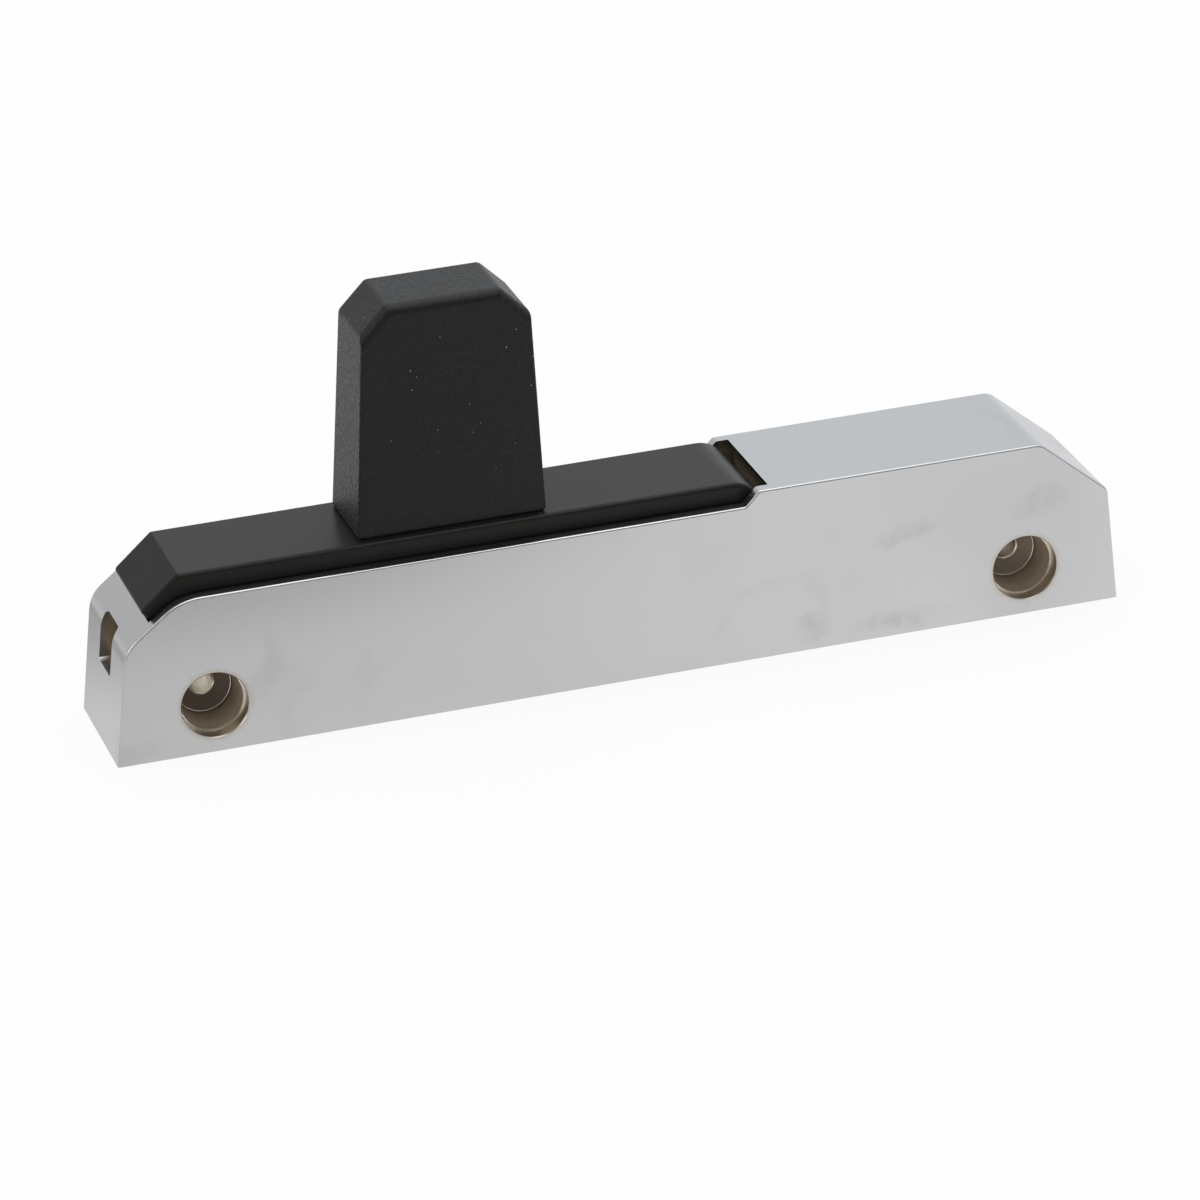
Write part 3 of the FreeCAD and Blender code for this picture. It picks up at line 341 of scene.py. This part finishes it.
# Near-white on the edges and ledge patches inside the holes: built-up plating and a painted
# highlight.
colour = mix_colour(tree, plating_and_glint, colour, (0.96, 0.91, 0.82))
tree.links.new(colour, shader.inputs["Base Color"])
rough = mix_value(tree, math_node(tree, "MAXIMUM", marks, wisps), 0.23, 0.30)
rough = mix_value(tree, bare, rough, mix_value(tree, in_screw_hole, 0.45, 0.2))
tree.links.new(rough, shader.inputs["Roughness"])
dull = math_node(tree, "MAXIMUM", bare, times(tree, stained, 0.35))
dull = times(tree, dull, math_node(tree, "SUBTRACT", 1.0, in_screw_hole))
tree.links.new(mix_value(tree, dull, 1.0, 0.2), shader.inputs["Metallic"])
skin = use(tree, grain, Vector=place, Scale=600.0, Depth=0.000001)
tree.links.new(skin.outputs["Normal"], shader.inputs["Normal"])
dress(chrome, "housing")


# LEVER
# Zinc casting of channel section with a smooth satin black powder coat, which has settled into
# a faint orange peel. The sloping nose gets half the specular level, painted shade that darkens
# it. A few specks of dust lie on it.

# White specks of dust: about one cell in Share of them holds one, Size across.
dust, inputs, outputs = node_group(
    "dust",
    [("Vector", "v", None), ("Scale", "f", 300.0), ("Size", "f", 0.06), ("Share", "f", 0.25)],
    [("Mask", "f")])
cells = add(dust, "TexVoronoi", [("Vector", inputs.outputs["Vector"]),
                                 ("Scale", inputs.outputs["Scale"])])
luck = add(dust, "SeparateColor", [("Color", cells.outputs["Color"])]).outputs
spread = times(dust, luck["Green"], inputs.outputs["Size"])
speck = math_node(dust, "LESS_THAN", cells.outputs["Distance"], spread)
chosen = math_node(dust, "LESS_THAN", luck["Red"], inputs.outputs["Share"])
dust.links.new(times(dust, speck, chosen), outputs.inputs["Mask"])


def facing_along_x(tree):
    """X of the surface's direction in the piece's own axes."""
    normal = tree.nodes["Texture Coordinate"].outputs["Normal"]
    return add(tree, "SeparateXYZ", [("Vector", normal)]).outputs["X"]


black, tree, shader, place = material("black_coated_zinc", Specular_Tint=(1.0, 0.97, 0.935, 1.0))
marks = use(tree, smudge, Vector=place, Scale=34.0).outputs["Mask"]
specks = use(tree, dust, Vector=place, Scale=420.0, Size=0.05, Share=0.08).outputs["Mask"]
colour = mix_colour(tree, marks, (0.0138, 0.0130, 0.0119), (0.0163, 0.0153, 0.0137))
tree.links.new(mix_colour(tree, specks, colour, (0.35, 0.35, 0.34)), shader.inputs["Base Color"])
tree.links.new(mix_value(tree, marks, 0.31, 0.38), shader.inputs["Roughness"])
# Painted shade: the nose, facing along -X, reflects half as much.
nose_painted_shade = fade(tree, facing_along_x(tree), -0.25, -0.5)
tree.links.new(mix_value(tree, nose_painted_shade, 0.20, 0.10), shader.inputs["Specular IOR Level"])
peel = use(tree, grain, Vector=place, Scale=620.0, Depth=0.000012)
tree.links.new(peel.outputs["Normal"], shader.inputs["Normal"])
dress(black, "lever")


# GRIP
# Black plastic moulding from a spark-eroded tool, matt and finely pitted, with white dust
# caught in the texture and the broad faces rubbed smoother by hands. The end faces are painted
# lighter towards the top, a painted light. It stands on the lever and is held from below.
plastic, tree, shader, place = material("grip_plastic", Specular_IOR_Level=0.30,
                                        Specular_Tint=(1.0, 0.975, 0.95, 1.0))
endwise = math_node(tree, "ABSOLUTE", facing_along_x(tree))
pit_depth = mix_value(tree, endwise, 0.00010, 0.00042)
pits = use(tree, grain, Vector=place, Scale=1600.0, Depth=pit_depth)
raised = fade(tree, pits.outputs["Height"], 0.42, 0.62)
specks = use(tree, dust, Vector=place, Scale=500.0, Size=0.06, Share=0.9).outputs["Mask"]
colour = mix_colour(tree, raised, (0.0058, 0.0068, 0.0080), (0.0085, 0.0100, 0.0115))
# Painted light: the raised grain of the end faces is lighter, more so towards the top.
end_painted_light = times(tree, raised, fade(tree, endwise, 0.75, 0.97))
height = add(tree, "SeparateXYZ", [("Vector", place)]).outputs["Z"]
end_painted_light = times(tree, end_painted_light, fade(tree, height, 0.040, 0.066))
colour = mix_colour(tree, end_painted_light, colour, (0.036, 0.033, 0.032))
tree.links.new(mix_colour(tree, specks, colour, (0.60, 0.60, 0.58)), shader.inputs["Base Color"])
tree.links.new(mix_value(tree, raised, 0.44, 0.36), shader.inputs["Roughness"])
tree.links.new(pits.outputs["Normal"], shader.inputs["Normal"])
dress(plastic, "grip")


# GRIP INSERTS
# Brass sleeves moulded into the grip's foot, turned from bar, knurled lengthwise in two bands
# so that they can't turn, and tapped.


def apply_place(piece):
    """Puts the piece's place and turn into its mesh."""
    bpy.ops.object.select_all(action="DESELECT")
    piece.select_set(True)
    bpy.context.view_layer.objects.active = piece
    bpy.ops.object.transform_apply(location=True, rotation=True, scale=True)


def cylinder(name, radius, low, high, x=0.0, y=0.0, sides=48):
    """Upright cylinder from low to high, left active with its place in its mesh."""
    bpy.ops.object.select_all(action="DESELECT")
    bpy.ops.mesh.primitive_cylinder_add(vertices=sides, radius=radius, depth=high - low,
                                        location=(x, y, (low + high) / 2))
    piece = bpy.context.active_object
    piece.name = name
    apply_place(piece)
    return piece


def pick_faces(piece, wanted):
    """In edit mode, selects only the faces for which wanted(centre, normal) holds."""
    bpy.ops.object.mode_set(mode="EDIT")
    bpy.ops.mesh.select_mode(type="FACE")
    bpy.ops.mesh.select_all(action="DESELECT")
    bpy.ops.object.mode_set(mode="OBJECT")
    for face in piece.data.polygons:
        face.select = wanted(face.center, face.normal)
    bpy.ops.object.mode_set(mode="EDIT")


def cut(piece, cutter):
    """Takes the cutter's shape out of the piece and deletes the cutter."""
    modifier = piece.modifiers.new("cut", "BOOLEAN")
    modifier.operation = "DIFFERENCE"
    modifier.solver = "EXACT"
    modifier.object = cutter
    bpy.context.view_layer.objects.active = piece
    bpy.ops.object.modifier_apply(modifier="cut")
    bpy.data.objects.remove(cutter)


def soften(piece, width, segments=2):
    """Small rounding on every sharp edge."""
    modifier = piece.modifiers.new("soften", "BEVEL")
    modifier.width = width
    modifier.segments = segments
    modifier.limit_method = "ANGLE"
    modifier.angle_limit = math.radians(35)
    bpy.context.view_layer.objects.active = piece
    bpy.ops.object.modifier_apply(modifier="soften")


def join(name, pieces):
    """Makes one object of several, each as a shell of its own."""
    bpy.ops.object.select_all(action="DESELECT")
    for piece in pieces:
        piece.select_set(True)
    bpy.context.view_layer.objects.active = pieces[0]
    if len(pieces) > 1:
        bpy.ops.object.join()
    pieces[0].name = name
    return pieces[0]


def copy_to(piece, offset):
    """Copy with its own mesh, moved by offset, with its place in its mesh."""
    copy = piece.copy()
    copy.data = piece.data.copy()
    bpy.context.scene.collection.objects.link(copy)
    copy.location = offset
    apply_place(copy)
    return copy


def fit(piece, made, body, node):
    """Smooths, dresses and mounts a finished piece in place of a CAD node."""
    bpy.ops.object.select_all(action="DESELECT")
    piece.select_set(True)
    bpy.context.view_layer.objects.active = piece
    bpy.ops.object.shade_smooth_by_angle(angle=math.radians(32))
    piece.data.materials.clear()
    piece.data.materials.append(made)
    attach(piece, body)
    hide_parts(node)


brass, tree, shader, place = material("turned_brass", Metallic=1.0)
marks = use(tree, smudge, Vector=place, Scale=120.0).outputs["Mask"]
tree.links.new(mix_colour(tree, marks, (0.72, 0.52, 0.23), (0.56, 0.39, 0.17)),
               shader.inputs["Base Color"])
tree.links.new(mix_value(tree, marks, 0.26, 0.4), shader.inputs["Roughness"])
turning = use(tree, grain, Vector=place, Scale=1400.0, Depth=0.000006)
tree.links.new(turning.outputs["Normal"], shader.inputs["Normal"])

inserts_low, inserts_high = (Vector(corner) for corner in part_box("grip_inserts"))
insert_r = inserts_high.y
left_screw_x = inserts_low.x + insert_r
right_screw_x = inserts_high.x - insert_r
screw_step = Vector((right_screw_x - left_screw_x, 0.0, 0.0))
knurl_depth = 0.00018
insert_bore_r = 0.00251
band = (inserts_high.z - inserts_low.z) / 5

insert_sides = 60
left_insert = cylinder("left_insert", insert_r - knurl_depth, inserts_low.z, inserts_high.z,
                       left_screw_x, sides=insert_sides)
for height in (1, 2, 3, 4):
    bpy.ops.object.mode_set(mode="EDIT")
    bpy.ops.mesh.select_all(action="SELECT")
    bpy.ops.mesh.bisect(plane_co=(0.0, 0.0, inserts_low.z + band * height),
                        plane_no=(0.0, 0.0, 1.0))
    bpy.ops.object.mode_set(mode="OBJECT")


def on_knurl(centre, normal):
    """Every other flat of the two banded stretches of the sleeve."""
    flat = round(math.degrees(math.atan2(normal.y, normal.x)) * insert_sides / 360 - 0.5)
    stretch = int((centre.z - inserts_low.z) / band)
    return abs(normal.z) < 0.5 and flat % 2 == 0 and stretch in (1, 3)


pick_faces(left_insert, on_knurl)
bpy.ops.mesh.extrude_region_shrink_fatten(TRANSFORM_OT_shrink_fatten={"value": knurl_depth * 0.9})
bpy.ops.object.mode_set(mode="OBJECT")
cut(left_insert, cylinder("bore", insert_bore_r, inserts_low.z - 0.001, inserts_high.z + 0.001,
                          left_screw_x))
right_insert = copy_to(left_insert, screw_step)
fit(join("brass_inserts", [left_insert, right_insert]), brass, "lever_arm",
    "grip_inserts")


# GRIP SCREWS AND WASHERS
# Cap screws with a hexagon socket, cold headed with rolled threads and bright zinc plated.
# They pass up through the lever into the inserts, each with a flat washer under its head.

# Fine marks that run round or along a turned, drawn or pressed part.
drawn, inputs, outputs = node_group(
    "drawn",
    [("Vector", "v", None), ("Stretch", "v", (1.0, 1.0, 1.0)), ("Scale", "f", 900.0),
     ("Depth", "f", 0.000004)],
    [("Normal", "v"), ("Mask", "f")])
stretched = add(drawn, "VectorMath", [(0, inputs.outputs["Vector"]),
                                      (1, inputs.outputs["Stretch"])], operation="MULTIPLY")
lines = noise(drawn, stretched.outputs["Vector"], inputs.outputs["Scale"])
relief = add(drawn, "Bump", [("Height", lines), ("Distance", inputs.outputs["Depth"]),
                             ("Strength", 1.0)])
drawn.links.new(relief.outputs["Normal"], outputs.inputs["Normal"])
drawn.links.new(lines, outputs.inputs["Mask"])


def plated_steel(name, bright, dull, low_rough, high_rough, stretch):
    """Steel with drawn marks along the axes that stretch leaves at full scale."""
    made, tree, shader, place = material(name, Metallic=1.0)
    marks = use(tree, smudge, Vector=place, Scale=70.0).outputs["Mask"]
    finish = use(tree, drawn, Vector=place, Stretch=stretch)
    tree.links.new(mix_colour(tree, marks, bright, dull), shader.inputs["Base Color"])
    worn = times(tree, finish.outputs["Mask"], marks)
    tree.links.new(mix_value(tree, worn, low_rough, high_rough), shader.inputs["Roughness"])
    tree.links.new(finish.outputs["Normal"], shader.inputs["Normal"])
    return made


zinc_plate = plated_steel("zinc_plated_steel", (0.60, 0.62, 0.65), (0.50, 0.50, 0.50),
                          0.27, 0.45, (1.0, 1.0, 0.15))


# Cuts through a mesh weld only what lies nearer than this to the cut.
cut_weld = 1e-7


def threaded_screw(name, x, y, head_low, head_high, tip, head_r, shank_r, pitch, socket_width):
    """Screw that points up: head with a hexagon socket below, rolled thread above."""
    head = cylinder(name, head_r, head_low, head_high, x, y)
    soften(head, (head_high - head_low) * 0.12, 3)
    socket_depth = (head_high - head_low) * 0.6
    cut(head, cylinder("socket", socket_width / math.sqrt(3), head_low - 0.001,
                       head_low + socket_depth, x, y, sides=6))

    # One pitch of the thread's outline, a flat crest between two roots, is swept upwards from
    # just over a pitch too low, so that no corner lies in a cut, and cut square at both ends.
    root_r = shank_r - 0.6 * pitch
    turns = math.floor((tip - head_high) / pitch) + 1
    foot = tip - turns * pitch
    bpy.ops.object.select_all(action="DESELECT")
    bpy.ops.mesh.primitive_plane_add(size=pitch, location=(0.0, 0.0, 0.0),
                                     rotation=(math.radians(90), 0.0, 0.0))
    thread = bpy.context.active_object
    apply_place(thread)
    bpy.ops.object.mode_set(mode="EDIT")
    bpy.ops.mesh.delete(type="ONLY_FACE")
    bpy.ops.mesh.select_mode(type="EDGE")
    bpy.ops.mesh.select_all(action="DESELECT")
    bpy.ops.object.mode_set(mode="OBJECT")
    for edge in thread.data.edges:
        ends = [thread.data.vertices[index].co.x for index in edge.vertices]
        edge.select = not (ends[0] > 0 and ends[1] > 0)
    bpy.ops.object.mode_set(mode="EDIT")
    bpy.ops.mesh.delete(type="EDGE")
    bpy.ops.mesh.select_all(action="SELECT")
    bpy.ops.transform.translate(value=(root_r - pitch / 2, 0.0, 0.0))
    bpy.ops.mesh.subdivide(number_cuts=2)
    bpy.ops.mesh.select_mode(type="VERT")
    bpy.ops.mesh.select_all(action="DESELECT")
    bpy.ops.object.mode_set(mode="OBJECT")
    for vertex in thread.data.vertices:
        vertex.select = abs(vertex.co.z) < pitch * 0.3
    bpy.ops.object.mode_set(mode="EDIT")
    bpy.ops.transform.translate(value=(shank_r - root_r, 0.0, 0.0))
    bpy.ops.transform.resize(value=(1.0, 1.0, 0.4))
    bpy.ops.mesh.select_all(action="SELECT")
    bpy.ops.transform.translate(value=(0.0, 0.0, foot - 1.01 * pitch))
    bpy.ops.object.mode_set(mode="OBJECT")
    sweep = thread.modifiers.new("sweep", "SCREW")
    sweep.screw_offset = pitch
    sweep.iterations = turns + 2
    sweep.steps = 20
    sweep.render_steps = 20
    sweep.use_merge_vertices = True
    sweep.merge_threshold = pitch * 0.01
    bpy.context.view_layer.objects.active = thread
    bpy.ops.object.modifier_apply(modifier="sweep")
    bpy.ops.object.mode_set(mode="EDIT")
    bpy.ops.mesh.select_all(action="SELECT")
    bpy.ops.mesh.remove_doubles(threshold=pitch * 0.01)
    for end, outwards in ((foot, -1.0), (tip, 1.0)):
        bpy.ops.mesh.select_all(action="SELECT")
        bpy.ops.mesh.bisect(plane_co=(0.0, 0.0, end), plane_no=(0.0, 0.0, outwards),
                            use_fill=True, clear_outer=True, threshold=cut_weld)
    bpy.ops.mesh.select_all(action="SELECT")
    bpy.ops.mesh.normals_make_consistent(inside=False)
    bpy.ops.object.mode_set(mode="OBJECT")
    thread.location = (x, y, 0.0)
    apply_place(thread)
    return join(name, [head, thread])


screws_low, screws_high = (Vector(corner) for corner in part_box("grip_screws"))
washers_low = Vector(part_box("grip_screw_washers")[0])
cap_shank_r, cap_pitch, cap_socket_width = 0.0025, 0.0008, 0.003
left_screw = threaded_screw("left_screw", left_screw_x, 0.0, screws_low.z, washers_low.z,
                            screws_high.z, screws_high.y, cap_shank_r, cap_pitch,
                            cap_socket_width)
right_screw = copy_to(left_screw, screw_step)
fit(join("cap_screws", [left_screw, right_screw]), zinc_plate, "lever_arm", "grip_screws")
dress(zinc_plate, "grip_screw_washers")


# PIVOT
# Ground steel pin across the housing, pressed in from the back, and two white nylon bushes
# with flanges, moulded, which line the lever's barrel and keep it off the housing's bosses.
ground_steel = plated_steel("ground_steel", (0.62, 0.62, 0.61), (0.50, 0.49, 0.48),
                            0.16, 0.32, (1.0, 0.1, 1.0))
dress(ground_steel, "pivot_pin", "drive_pin", "catch_pin", "catch_roller")

nylon, tree, shader, place = material("natural_nylon", Subsurface_Weight=0.15,
                                      Subsurface_Scale=0.002)
marks = use(tree, smudge, Vector=place, Scale=60.0).outputs["Mask"]
tree.links.new(mix_colour(tree, marks, (0.75, 0.74, 0.69), (0.62, 0.60, 0.55)),
               shader.inputs["Base Color"])
tree.links.new(mix_value(tree, marks, 0.42, 0.55), shader.inputs["Roughness"])
moulded = use(tree, grain, Vector=place, Scale=500.0, Depth=0.00001)
tree.links.new(moulded.outputs["Normal"], shader.inputs["Normal"])
dress(nylon, "pivot_bushes", "roller_washers", "slide_rail_front", "slide_rail_back")


# DRIVE PIN CLIPS
# Spring steel clips stamped in an E shape and blackened, pushed sideways into the drive pin's
# grooves, where three lugs hold them.
spring_steel = plated_steel("spring_steel", (0.30, 0.30, 0.31), (0.20, 0.19, 0.18),
                            0.28, 0.45, (0.2, 1.0, 1.0))
clips_low, clips_high = (Vector(corner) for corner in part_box("drive_pin_clips"))
pin_low, pin_high = (Vector(corner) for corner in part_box("drive_pin"))
pin_x = (pin_low.x + pin_high.x) / 2
pin_z = (pin_low.z + pin_high.z) / 2
clip_r = clips_high.x - pin_x
clip_lug_r = 0.00163
clip_inner_r = 0.0024
clip_sheet = 0.0006
clip_sides = 72
mouth_half_angle = 32.0
lug_half_angle = 16.0

bpy.ops.object.select_all(action="DESELECT")
bpy.ops.mesh.primitive_circle_add(vertices=clip_sides, radius=clip_r, fill_type="NGON",
                                  location=(pin_x, clips_high.y - clip_sheet, pin_z),
                                  rotation=(math.radians(90), 0.0, 0.0))
clip = bpy.context.active_object
apply_place(clip)
bpy.ops.object.mode_set(mode="EDIT")
bpy.ops.mesh.select_all(action="SELECT")
bpy.ops.mesh.inset(thickness=clip_r - clip_inner_r)
bpy.ops.mesh.inset(thickness=clip_inner_r - clip_lug_r)
bpy.ops.mesh.delete(type="FACE")


def clip_gap(centre, normal):
    """Faces of the clip's mouth, and those between its three lugs."""
    from_pin = Vector((centre.x - pin_x, centre.z - pin_z))
    angle = math.degrees(math.atan2(from_pin.y, from_pin.x))
    mouth = abs(angle + 90.0) < mouth_half_angle
    off_lug = min(abs(angle - lug) for lug in (90.0, -30.0, -150.0))
    return mouth or (from_pin.length < clip_inner_r and off_lug >= lug_half_angle)


pick_faces(clip, clip_gap)
bpy.ops.mesh.delete(type="FACE")
bpy.ops.mesh.select_all(action="SELECT")
bpy.ops.mesh.extrude_region_move(TRANSFORM_OT_translate={"value": (0.0, clip_sheet, 0.0)})
bpy.ops.mesh.select_all(action="SELECT")
bpy.ops.mesh.normals_make_consistent(inside=False)
bpy.ops.object.mode_set(mode="OBJECT")
soften(clip, 0.00006, 1)
front_clip = copy_to(clip, (0.0, clips_low.y - (clips_high.y - clip_sheet), 0.0))
fit(join("e_clips", [clip, front_clip]), spring_steel, "lever_arm",
    "drive_pin_clips")


# CATCH CARRIAGE
# Fork pressed from 2 mm steel sheet and bright zinc plated. It carries the hardened roller and
# slides in the two nylon rails.
pressed_plate = plated_steel("pressed_zinc_plated_steel", (0.60, 0.615, 0.635), (0.54, 0.55, 0.56),
                             0.30, 0.46, (0.12, 1.0, 1.0))
dress(pressed_plate, "catch_carriage", "spring_guide_rod", "base_plate")


# CATCH SPRING
# Compression spring wound from 1.3 mm wire, with a closed coil at each end that is ground
# flat. It shortens as the lever lifts and draws the carriage back.
spring_low, spring_high = (Vector(corner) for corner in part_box("catch_spring"))
rod_low, rod_high = (Vector(corner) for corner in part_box("spring_guide_rod"))
wire_r = 0.00065
rod_z = (rod_low.z + rod_high.z) / 2
coil_r = 0.005
turn_steps = 20
open_turns = 7
end_turn = 2.0 * wire_r / turn_steps
ground_off = 0.57 * wire_r
free_length = spring_high.x - spring_low.x - 6.0 * wire_r + 2.0 * ground_off
open_turn = free_length / (open_turns * turn_steps)
closed_coil = [end_turn] * turn_steps
advances = closed_coil + [open_turn] * (open_turns * turn_steps) + closed_coil

bpy.ops.object.select_all(action="DESELECT")
wire_start = (spring_low.x + wire_r - ground_off, 0.0, rod_z + coil_r)
bpy.ops.mesh.primitive_circle_add(vertices=12, radius=wire_r, fill_type="NGON",
                                  location=wire_start, rotation=(math.radians(90), 0.0, 0.0))
spring = bpy.context.active_object
spring.name = "return_spring"
apply_place(spring)
bpy.ops.object.mode_set(mode="EDIT")
bpy.ops.mesh.select_all(action="SELECT")
for advance in advances:
    bpy.ops.mesh.extrude_region_move(TRANSFORM_OT_translate={"value": (advance, 0.0, 0.0)})
    bpy.ops.transform.rotate(value=2.0 * math.pi / turn_steps, orient_axis="X",
                             center_override=(0.0, 0.0, rod_z))
for end, outwards in ((spring_low.x, -1.0), (spring_high.x, 1.0)):
    bpy.ops.mesh.select_all(action="SELECT")
    bpy.ops.mesh.bisect(plane_co=(end, 0.0, 0.0), plane_no=(outwards, 0.0, 0.0),
                        use_fill=True, clear_outer=True, threshold=cut_weld)
bpy.ops.mesh.select_all(action="SELECT")
bpy.ops.mesh.normals_make_consistent(inside=False)
bpy.ops.object.mode_set(mode="OBJECT")
fit(spring, spring_steel, "frame", "catch_spring")
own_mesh(spring)


# BASE PLATE SCREWS
# Low headed screws with a hexagon socket, bright zinc plated, that hold the pressed plate
# under the catch to the casting's ribs.
plate_screws_low, plate_screws_high = (Vector(corner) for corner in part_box("base_plate_screws"))
plate_low = Vector(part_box("base_plate")[0])
plate_head_r = 0.0037
plate_screw_x = plate_screws_low.x + plate_head_r
plate_screw_y = plate_screws_low.y + plate_head_r
plate_shank_r, plate_pitch, plate_socket_width = 0.002, 0.0007, 0.003
first = threaded_screw("plate_screw", plate_screw_x, plate_screw_y, plate_screws_low.z,
                       plate_low.z, plate_screws_high.z, plate_head_r, plate_shank_r,
                       plate_pitch, plate_socket_width)
along = Vector((plate_screws_high.x - plate_screws_low.x - 2 * plate_head_r, 0.0, 0.0))
across = Vector((0.0, plate_screws_high.y - plate_screws_low.y - 2 * plate_head_r, 0.0))
plate_screws = [first] + [copy_to(first, offset) for offset in (along, across, along + across)]
fit(join("plate_screws", plate_screws), zinc_plate, "frame", "base_plate_screws")


# LEVER BUFFERS
# Soft black rubber pads, moulded with a peg that is pulled through the casting's ledge. The
# lever's flanges come down on them.
rubber, tree, shader, place = material("buffer_rubber", Specular_IOR_Level=0.3)
bloom = use(tree, smudge, Vector=place, Scale=180.0).outputs["Mask"]
tree.links.new(mix_colour(tree, bloom, (0.017, 0.017, 0.017), (0.045, 0.044, 0.042)),
               shader.inputs["Base Color"])
tree.links.new(mix_value(tree, bloom, 0.72, 0.88), shader.inputs["Roughness"])
moulded = use(tree, grain, Vector=place, Scale=1100.0, Depth=0.00002)
tree.links.new(moulded.outputs["Normal"], shader.inputs["Normal"])
dress(rubber, "lever_buffers")


# STUDIO
# White paper floor and surroundings, which the chrome mirrors a little greyer on the left
# than on the right, and darker on the camera's side. A broad soft light hangs overhead and a
# weak warm one stands on the left.
bpy.ops.object.select_all(action="DESELECT")
bpy.ops.mesh.primitive_plane_add(size=6.0, location=(0.0, 0.0, 0.0))
floor = bpy.context.active_object
floor.name = "floor"
paper, tree, shader, place = material("white_paper", Roughness=0.9)
shader.inputs["Base Color"].default_value = (0.92, 0.92, 0.92, 1.0)


def patch(tree, place, middle, reach):
    """1 at the middle of an oval patch of the floor, fading to 0 at its reach."""
    offset = add(tree, "VectorMath", [(0, place), (1, middle)],
                 operation="SUBTRACT").outputs["Vector"]
    scaled = add(tree, "VectorMath", [(0, offset), (1, reach)],
                 operation="DIVIDE").outputs["Vector"]
    ratio = add(tree, "VectorMath", [(0, scaled)], operation="LENGTH").outputs["Value"]
    return fade(tree, ratio, 1.0, 0.2)


axes = add(tree, "SeparateXYZ", [("Vector", place)]).outputs
mirrored = mix_value(tree, fade(tree, axes["X"], -0.24, 0.12), 0.72, 0.96)
# Places where the chrome mirrors the floor darker still: middle, reach and loss.
for middle, reach, loss in (((-0.07, -0.15, 0.0), (0.15, 0.09, 1.0), 0.34),
                            ((-0.17, 0.09, 0.0), (0.11, 0.09, 1.0), 0.30),
                            ((0.20, 0.21, 0.0), (0.08, 0.09, 1.0), 0.16)):
    lost = times(tree, patch(tree, place, middle, reach), loss)
    mirrored = math_node(tree, "SUBTRACT", mirrored, lost)
path = add(tree, "LightPath").outputs
reflected = math_node(tree, "MAXIMUM", path["Is Glossy Ray"], path["Is Transmission Ray"])
level = mix_value(tree, reflected, 1.0, mirrored)
glow = add(tree, "Emission", [("Color", (1.0, 1.0, 1.0, 1.0)), ("Strength", level)])
share = math_node(tree, "MAXIMUM", reflected, times(tree, path["Is Camera Ray"], 0.90))
whitened = add(tree, "MixShader", [(0, share), (1, shader.outputs[0]), (2, glow.outputs[0])])
tree.links.new(whitened.outputs[0], tree.nodes["Material Output"].inputs["Surface"])
floor.data.materials.append(paper)

world = bpy.data.worlds.new("studio")
bpy.context.scene.world = world
world.use_nodes = True
tree = world.node_tree
surround = tree.nodes["Background"]
way = tree.nodes.new("ShaderNodeTexCoord").outputs["Generated"]
way = add(tree, "SeparateXYZ", [("Vector", way)]).outputs
behind = mix_value(tree, fade(tree, way["Y"], -0.9, 0.35), 0.40, 1.0)
rightwards = fade(tree, way["X"], -0.6, 0.6)
tree.links.new(mix_colour(tree, rightwards, (0.60, 0.60, 0.60), (0.84, 0.873, 0.905)),
               surround.inputs["Color"])
tree.links.new(behind, surround.inputs["Strength"])
backdrop = add(tree, "Background", [("Color", (1.0, 1.0, 1.0, 1.0)), ("Strength", 1.0)])
mixed = add(tree, "MixShader", [(0, add(tree, "LightPath").outputs["Is Camera Ray"]),
                                (1, surround.outputs[0]), (2, backdrop.outputs[0])])
tree.links.new(mixed.outputs[0], tree.nodes["World Output"].inputs["Surface"])


def softbox(name, size, place, power, tint):
    """Area light that faces the handle."""
    data = bpy.data.lights.new(name, "AREA")
    data.size = size
    data.energy = power
    data.color = tint
    lamp = bpy.data.objects.new(name, data)
    bpy.context.scene.collection.objects.link(lamp)
    lamp.location = place
    aim = Vector((0.0, 0.0, 0.03)) - Vector(place)
    lamp.rotation_euler = aim.to_track_quat("-Z", "Y").to_euler()


softbox("overhead", 2.0, (0.1, 0.1, 1.6), 12.5, (1.0, 1.0, 1.0))
softbox("left", 1.0, (-1.5, -0.3, 0.8), 5.0, (1.0, 0.965, 0.95))

bpy.context.scene.view_settings.view_transform = "Standard"
